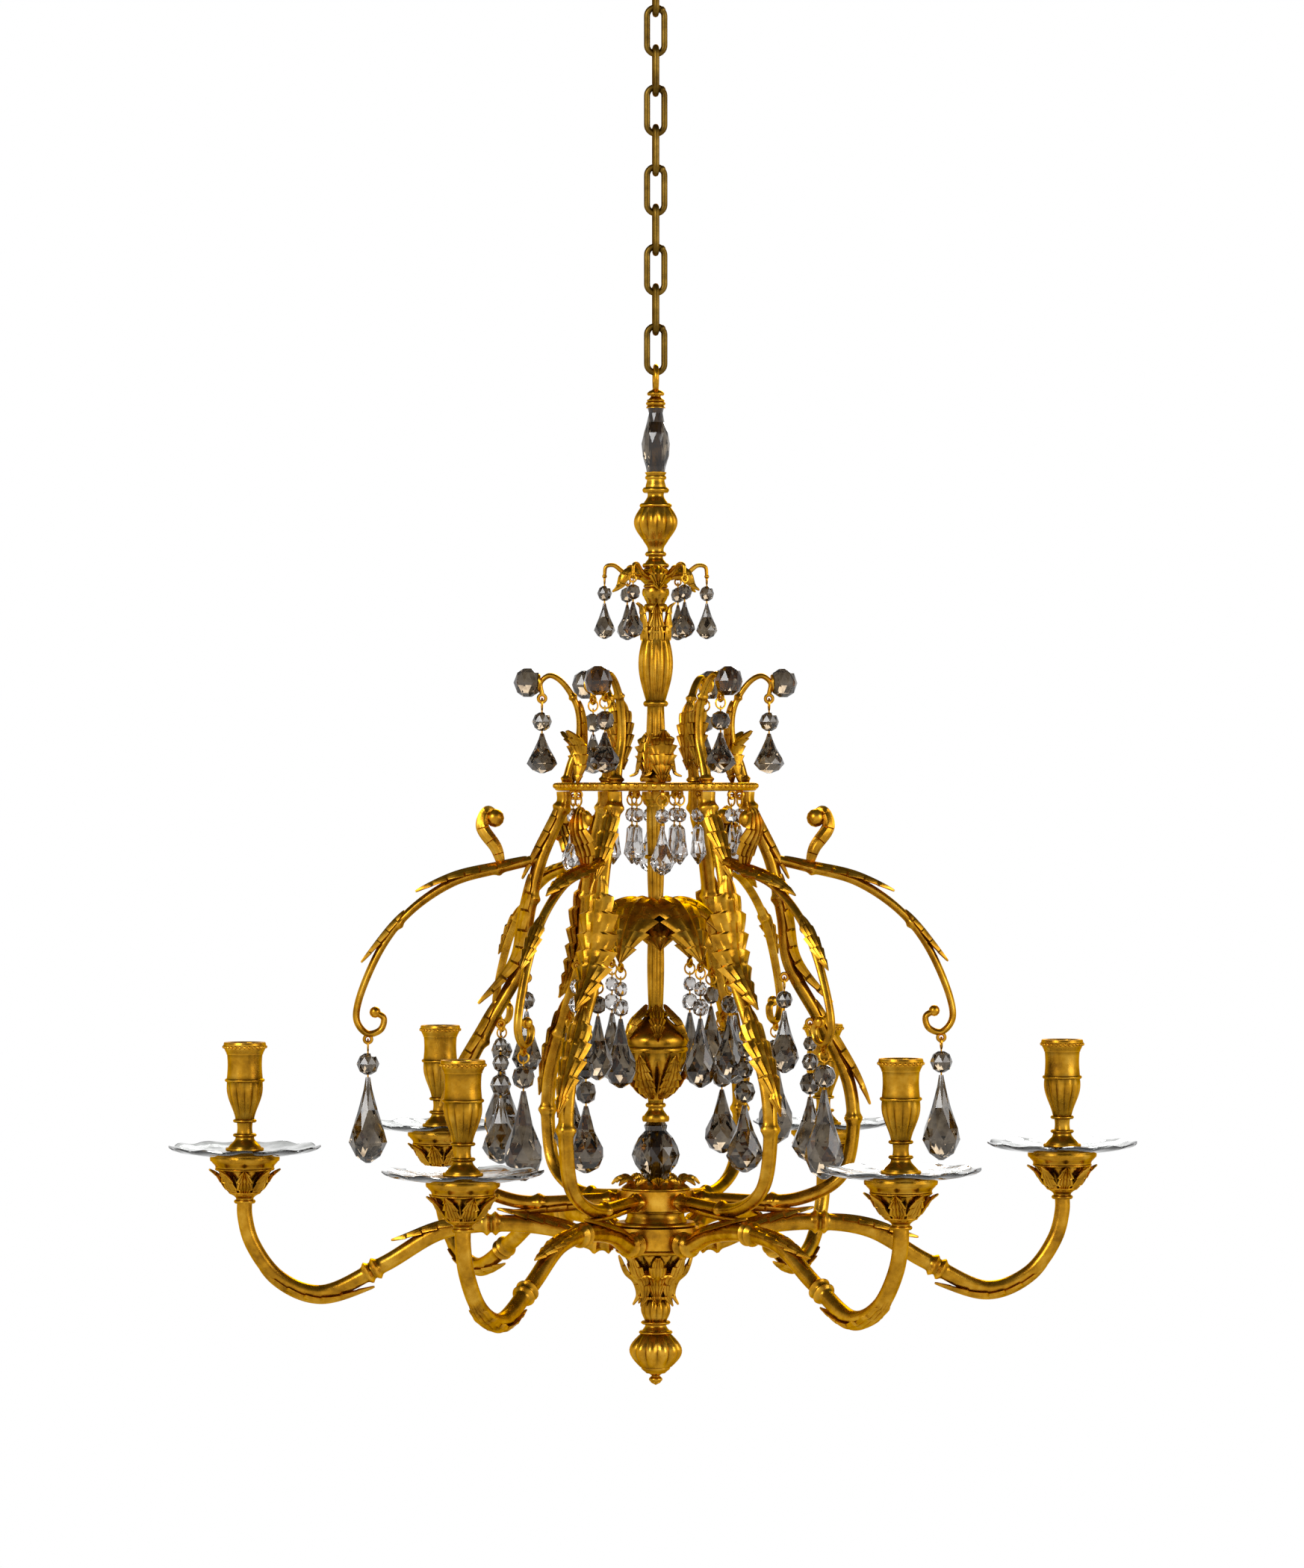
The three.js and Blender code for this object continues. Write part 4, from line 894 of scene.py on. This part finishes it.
def ribs():
    """Each casting: a rib and its outer scroll, with four reeds raised by a cosine and collars that are bell
    curves, broad leaves at the shoulder and smaller ones at the head, belly and scroll."""
    angle = ring(24)[None, :]
    s = np.linspace(0, 1, len(rib_path))[:, None]
    collars = bells(s, (0.03, 0.2, 0.47, 0.62, 0.86, 0.985), 0.007)
    size = (1 + 0.42 * collars) * (1 + 0.07 * np.cos(4 * angle))
    rib = carried(rib_path, RIB_HALF_THICK * size * np.cos(angle), RIB_HALF_WIDE * size * np.sin(angle))
    t = np.linspace(0, 1, len(scroll_path))[:, None]
    scroll_size = (1 + 0.45 * bells(t, (0.14, 0.5), 0.01)) * (1 + 0.06 * np.cos(4 * angle))
    scroll = carried(
        scroll_path, SCROLL_THICK * mix(1, 0.6, t) * scroll_size * np.cos(angle),
        SCROLL_HALF_WIDE * mix(1, 0.7, t) * scroll_size * np.sin(angle),
    )
    start = corona_z - SCROLL_DROP
    leaf_z = corona_z - LEAF_DROP
    spray = radial([
        [mix(SHOULDER_R, SCROLL_REACH, 0.15), start - 4],
        [LEAF_R - LEAF_CURL * 0.93, mix(start, leaf_z, 0.3)],
        [LEAF_R - LEAF_CURL * 0.27, mix(start, leaf_z, 0.8)],
        [LEAF_R - LEAF_CURL * 0.53, leaf_z + LEAF_CURL * 0.27], [LEAF_R - LEAF_CURL, leaf_z],
    ], 70)
    eyes = [eye_ring(eye) for eye in (scroll_eye, flank_eye, belly_eye)]
    knobs = [bead(scroll_path[-1], 4.0, 16), bead(spray[-1] + [2, 0, -1], 6.5, 20)]
    leaves = [
        lying_leaf(rib_path, 0.02, 0.17, 9, 1.5, 4.0, 5.0, teeth=5),
        lying_leaf(rib_path, 0.16, 0.42, 17, 2.0, 4.6, 9.0, teeth=8, notch=0.34, cup=-0.32),
        lying_leaf(rib_path, 0.4, 0.6, 12, 1.7, 4.4, 8.0, teeth=6, cup=-0.3),
        lying_leaf(rib_path[::-1], 0.02, 0.2, 9, 1.5, -4.4, -4.0, teeth=5, cup=0.3),
        lying_leaf(scroll_path, 0.05, 0.4, 11, 1.6, 3.2, 5.0, teeth=7, cup=-0.3),
        lying_leaf(scroll_path, 0.46, 0.66, 7, 1.3, 3.0, 5.0, teeth=5, cup=-0.3),
        leaf(spray, 9.0, 3.4, teeth=5, notch=0.25, cup=0.15),
    ]
    one_each(gilt, "rib_casting", [rib, scroll] + knobs + eyes + leaves, "cage_rib")


def arms():
    """Each arm: a drawn tube with knops that are narrow bell curves, leaves at its root and under its bend,
    and a leafy calyx that carries the pan."""
    path = radial([
        [HUB_ARM_R, arm_root_z], [HUB_ARM_R + 14, arm_root_z],
        [ARM_HUMP_R * 0.62, arm_root_z + ARM_HUMP * 0.65],
        [ARM_HUMP_R, arm_root_z + ARM_HUMP], [mix(ARM_HUMP_R, ARM_DIP_R, 0.33), arm_root_z + ARM_HUMP * 0.6],
        [mix(ARM_HUMP_R, ARM_DIP_R, 0.65), arm_root_z - ARM_DIP * 0.43], [ARM_DIP_R, arm_root_z - ARM_DIP],
        [mix(ARM_DIP_R, ARM_REACH, 0.55), arm_root_z - ARM_DIP * 0.7],
        [mix(ARM_DIP_R, ARM_REACH, 0.9), arm_root_z],
        [ARM_REACH, arm_root_z + ARM_RISE * 0.62], [ARM_REACH, arm_root_z + ARM_RISE],
    ], 260)
    t = np.linspace(0, 1, len(path))
    knops = bells(t, (0.012, 0.04, 0.27, 0.29, 0.56, 0.58), 0.006)
    tube = wire(path, mix(ARM_ROOT_R, ARM_TIP_R, t) * (1 + 0.45 * knops), 24)
    leaves = [
        lying_leaf(path, 0.03, 0.27, 11, 1.6, 5.2, 5.0, teeth=7, cup=-0.35),
        lying_leaf(path, 0.3, 0.5, 9, 1.5, 5.0, 7.0, teeth=6, cup=-0.35),
        lying_leaf(path[::-1], 0.16, 0.42, 10, 1.6, 4.6, 6.0, teeth=7, cup=-0.35),
    ]
    top = holder_z + HOLDER_H
    calyx = turned(moulding(
        holder_z - 4, HOLDER_H + 4, (0, 0, 6.2), (0.08, 6.8, 6.8, 0.8), (0.12, 6.2, 9.0, -0.6),
        (0.06, 10.4, 10.4, 0.9), (0.44, 9.6, 19.0, -1.6, 1), (0.06, 20, 20, 0.9), (0.14, 20.6, 23.4, -0.4),
        (0.1, HOLDER_R, HOLDER_R, 0.4), (0, 23.6, 0),
    ), 96)
    petal = radial([[8, holder_z + 2], [13, holder_z + 8], [19, holder_z + 16], [25, holder_z + 20]], 40)
    stub = turned(moulding(top - 1, 14, (0, 0, 4), (1, 4, 4), (0, 4, 0)), 24)
    calyx_work = [calyx, stub] + all_round([leaf(petal, 6.2, 1.1, teeth=4)], 8)
    one_each(gilt, "arm_casting", [tube] + leaves + at_candle(calyx_work), "candle_arm")


def drip_pans():
    """A pressed glass dish. Twelve scallops cut into its rim and twelve ridges run out between them, both
    growing as the radius beyond the flat to the power of one and a half."""
    low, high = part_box("drip_pan_1")
    underside = low.z * 1000
    outer = (high.y - low.y) * 500 - PAN_INSET
    hole, flat_r, thick, scallop, ridge = 4.3, 26.0, 2.6, 2.2, 0.7
    across = np.array([hole, 12, flat_r, 34, 41, 48, outer - 1.4, outer - 0.3])
    lift = np.array([0.0, 0, 0, 0.9, 2.0, 3.4, 4.8, 5.6])
    thickness = np.array([thick, thick, thick, 2.3, 2.1, 1.9, 1.6, 1.0])
    under = np.stack([across, underside + lift], axis=1)
    over = np.stack([across, underside + lift + thickness], axis=1)
    radius, z = np.vstack([under, over[::-1]]).T
    radius, z = radius[:, None], z[:, None]
    angle = ring(144)[None, :]
    reach = np.clip((radius - flat_r) / (outer - flat_r), 0, 1) ** 1.5
    r = radius - scallop * reach * (1 - np.abs(np.cos(6 * angle)))
    h = z + ridge * reach * np.cos(12 * angle)
    pan = skin(np.stack([r * np.cos(angle), r * np.sin(angle), h], axis=-1), closed=True)
    one_each(pressed, "pan_dish", at_candle([pan]), "drip_pan")


def candle_cups():
    """An urn with a lobed body, a beaded lip and a straight bore for the candle."""
    low, high = heights("candle_cup_1")
    tall = high - low
    outside = moulding(
        low, tall, (0, 0, 12), (0.03, 13, 13, 0.4), (0.1, 11.6, 6.6, -0.6), (0.03, 7.4, 7.4, 0.9),
        (0.1, 5.6, 5.6, -0.4), (0.03, 7.4, 7.4, 0.9), (0.34, 6.6, 12.6, 1.6, 1), (0.03, 13.2, 13.2, 0.8),
        (0.22, 12.6, 12.4, -0.5), (0.06, 12.8, 14.4), (0.05, 14.4, 14.4, 0.5),
    )
    seat = high - CUP_BORE_DEPTH
    bore = np.array([
        [13.6, high, 0], [CUP_BORE_R + 0.8, high, 0], [CUP_BORE_R, high - 1, 0],
        [CUP_BORE_R, seat + 0.5, 0], [CUP_BORE_R - 0.5, seat, 0], [0.01, seat, 0],
    ])
    cup = turned(np.vstack([outside, bore]), 84)
    pearls = all_round([bead([14.6, 0, high - 3.2], 1.2, 8)], 28)
    one_each(gilt, "cup_urn", at_candle([cup] + pearls), "candle_cup")


# Crystals

def swinging_drops():
    """The drops that swing in their eyes: a cut bead and a pear below it, on wire pins."""
    sets = [  # bodies, eye, stones
        ("scroll_drop", scroll_eye, [(BEAD, 8.0, 15), (PEAR, 13.5, 60)]),
        ("corona_drop", corona_eye, [(BEAD, 7.0, 13), (PEAR, 10.8, 28)]),
    ]
    for name, eye, drop in sets:
        stones, wires = hanging(eye, *drop)
        for i, angle in enumerate(ring(LIGHTS), 1):
            body = f"{name}_{i}"
            cut_stones = [spun(shell, angle) for shell in stones]
            crystal(f"{name}_stones_{i}", cut_stones, body=body, stands_for=[body])
            gilt(f"{name}_pins_{i}", [spun(shell, angle) for shell in wires], body=body)


def cage_crystals():
    """Stones that hang still in the cage and move with it: two lines inside each rib, one from the band
    between the ribs, one under each spoke, and one from each long leaf of the canopy."""
    small, middling, large = (BEAD, 5, 10), (BEAD, 6, 12), (BEAD, 7.5, 15)
    lines = [  # eye, start angle, how many of the first stones are clear, stones
        (flank_eye, 0, 0, [middling, (PEAR, 10.5, 44)]),
        (belly_eye, 0, 0, [small, middling, large, (PEAR, 13, 46)]),
        (band_eye, HALF_STEP, 2, [small, (PEAR, 8.5, 34)]),
        (spoke_eye, 0, 2, [small, (SPEAR, 6, 28)]),
        (canopy_eye, 0, 2, [small, middling, (PEAR, 11.5, 48)]),
    ]
    smoky, clear, pins = [], [], []
    for eye, start, pale, drop in lines:
        stones, wires = hanging(eye, *drop)
        clear += all_round(stones[:pale], start=start)
        smoky += all_round(stones[pale:], start=start)
        pins += all_round(wires, start=start)
    crystal("cage_stones", smoky)
    clear_crystal("cage_clear_stones", clear)
    gilt("cage_pins", pins)


# Studio

VIEW_HEIGHT = 1102.5         # what the frame's height covers at the stem
CAMERA_DISTANCE = 3700.0
CAMERA_AZIMUTH = -4.0
CAMERA_Z = -611.0
CAMERA_LEFT = 2.6            # the stem stands a little right of the frame's middle
MIDDLE = Vector((0, 0, CAMERA_Z / 1000))
FLOOR_Z = -3000.0           # a room's height below the ceiling
FLOOR_R = 3000.0


def placed(name, data, at, towards):
    """A camera or lamp, put in place and turned to face a direction."""
    made = bpy.data.objects.new(name, data)
    made.location = at
    made.rotation_mode = "QUATERNION"
    made.rotation_quaternion = towards.to_track_quat("-Z", "Y")
    bpy.context.scene.collection.objects.link(made)
    return made


def camera():
    """A level camera in front of the chandelier, a few degrees round to its left."""
    data = bpy.data.cameras.new("camera")
    data.lens = data.sensor_width * CAMERA_DISTANCE / VIEW_HEIGHT
    data.clip_end = 100
    turn = np.radians(CAMERA_AZIMUTH)
    back = Vector((np.sin(turn), -np.cos(turn), 0))
    right = Vector((np.cos(turn), np.sin(turn), 0))
    at = (back * CAMERA_DISTANCE - right * CAMERA_LEFT) / 1000 + MIDDLE
    bpy.context.scene.camera = placed("camera", data, at, -back)


def soft_box(name, at, size, power):
    """A large square lamp that faces the middle of the chandelier."""
    data = bpy.data.lights.new(name, "AREA")
    data.shape = "SQUARE"
    data.size = size
    data.energy = power
    placed(name, data, at, MIDDLE - Vector(at))


def surroundings():
    """White all round for the camera. Metal and glass see the same white near the horizon, a dim ceiling
    above it and a pale floor below; the rest is soft grey light."""
    world = bpy.data.worlds.new("studio")
    bpy.context.scene.world = world
    world.use_nodes = True
    tree = world.node_tree
    tree.nodes.clear()
    place = node(tree, "ShaderNodeTexCoord")
    split = node(tree, "ShaderNodeSeparateXYZ", [("Vector", place, "Generated")])
    height = node(tree, "ShaderNodeMapRange", [("Value", split, "Z")], From_Min=-1.0, From_Max=1.0)
    floor_to_ceiling = [(0.05, "#d2d2ce"), (0.4, "#ffffff"), (0.61, "#ffffff"), (0.8, "#565656")]
    room = node(tree, "ShaderNodeValToRGB", [("Fac", height, "Result")], floor_to_ceiling)
    rays = node(tree, "ShaderNodeLightPath")
    mirror_rays = [(0, rays, "Is Glossy Ray"), (1, rays, "Is Transmission Ray")]
    seen = node(tree, "ShaderNodeMath", mirror_rays, operation="MAXIMUM")
    soft = node(tree, "ShaderNodeBackground", Color=linear("#e6e6e6"), Strength=0.75)
    mirrored = node(tree, "ShaderNodeBackground", [("Color", room, "Color")], Strength=1.0)
    white = node(tree, "ShaderNodeBackground", Color=(1, 1, 1, 1), Strength=1.0)
    object_light = node(tree, "ShaderNodeMixShader", [(0, seen, 0), (1, soft, 0), (2, mirrored, 0)])
    camera_or_not = [(0, rays, "Is Camera Ray"), (1, object_light, 0), (2, white, 0)]
    whole = node(tree, "ShaderNodeMixShader", camera_or_not)
    node(tree, "ShaderNodeOutputWorld", [(0, whole, 0)])


def floor():
    """A disc well below the chandelier."""
    disc = turned(moulding(FLOOR_Z - 10, 10, (0, 0, FLOOR_R), (1, FLOOR_R, FLOOR_R), (0, FLOOR_R, 0)), 96)
    # Smoothed lime plaster: pale and matt, with hardly any sheen
    material = bpy.data.materials.new("floor_plaster")
    material.use_nodes = True
    shader = material.node_tree.nodes["Principled BSDF"]
    shader.inputs["Base Color"].default_value = linear("#f4f4f2")
    shader.inputs["Roughness"].default_value = 0.9
    mesh_object("floor", [disc], material)


camera()
surroundings()
# Lamps: place and width in metres, power in watts
soft_box("key", (-2.2, -2.4, 0.9), 1.4, 60)
soft_box("fill", (2.6, -1.6, 0.2), 1.8, 35)
soft_box("rim", (0.6, 2.6, 0.9), 1.4, 45)
floor()

ceiling_fitting()
chain()
hanging_loop()
neck_crystal()
top_vase()
top_crown()
stem()
corona()
column()
canopy()
core_crystal()
hub_and_finial()
ribs()
arms()
drip_pans()
candle_cups()
swinging_drops()
cage_crystals()

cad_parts["tie_rod"].data.materials.clear()
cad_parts["tie_rod"].data.materials.append(AGED)

bpy.context.scene.view_settings.view_transform = "Standard"
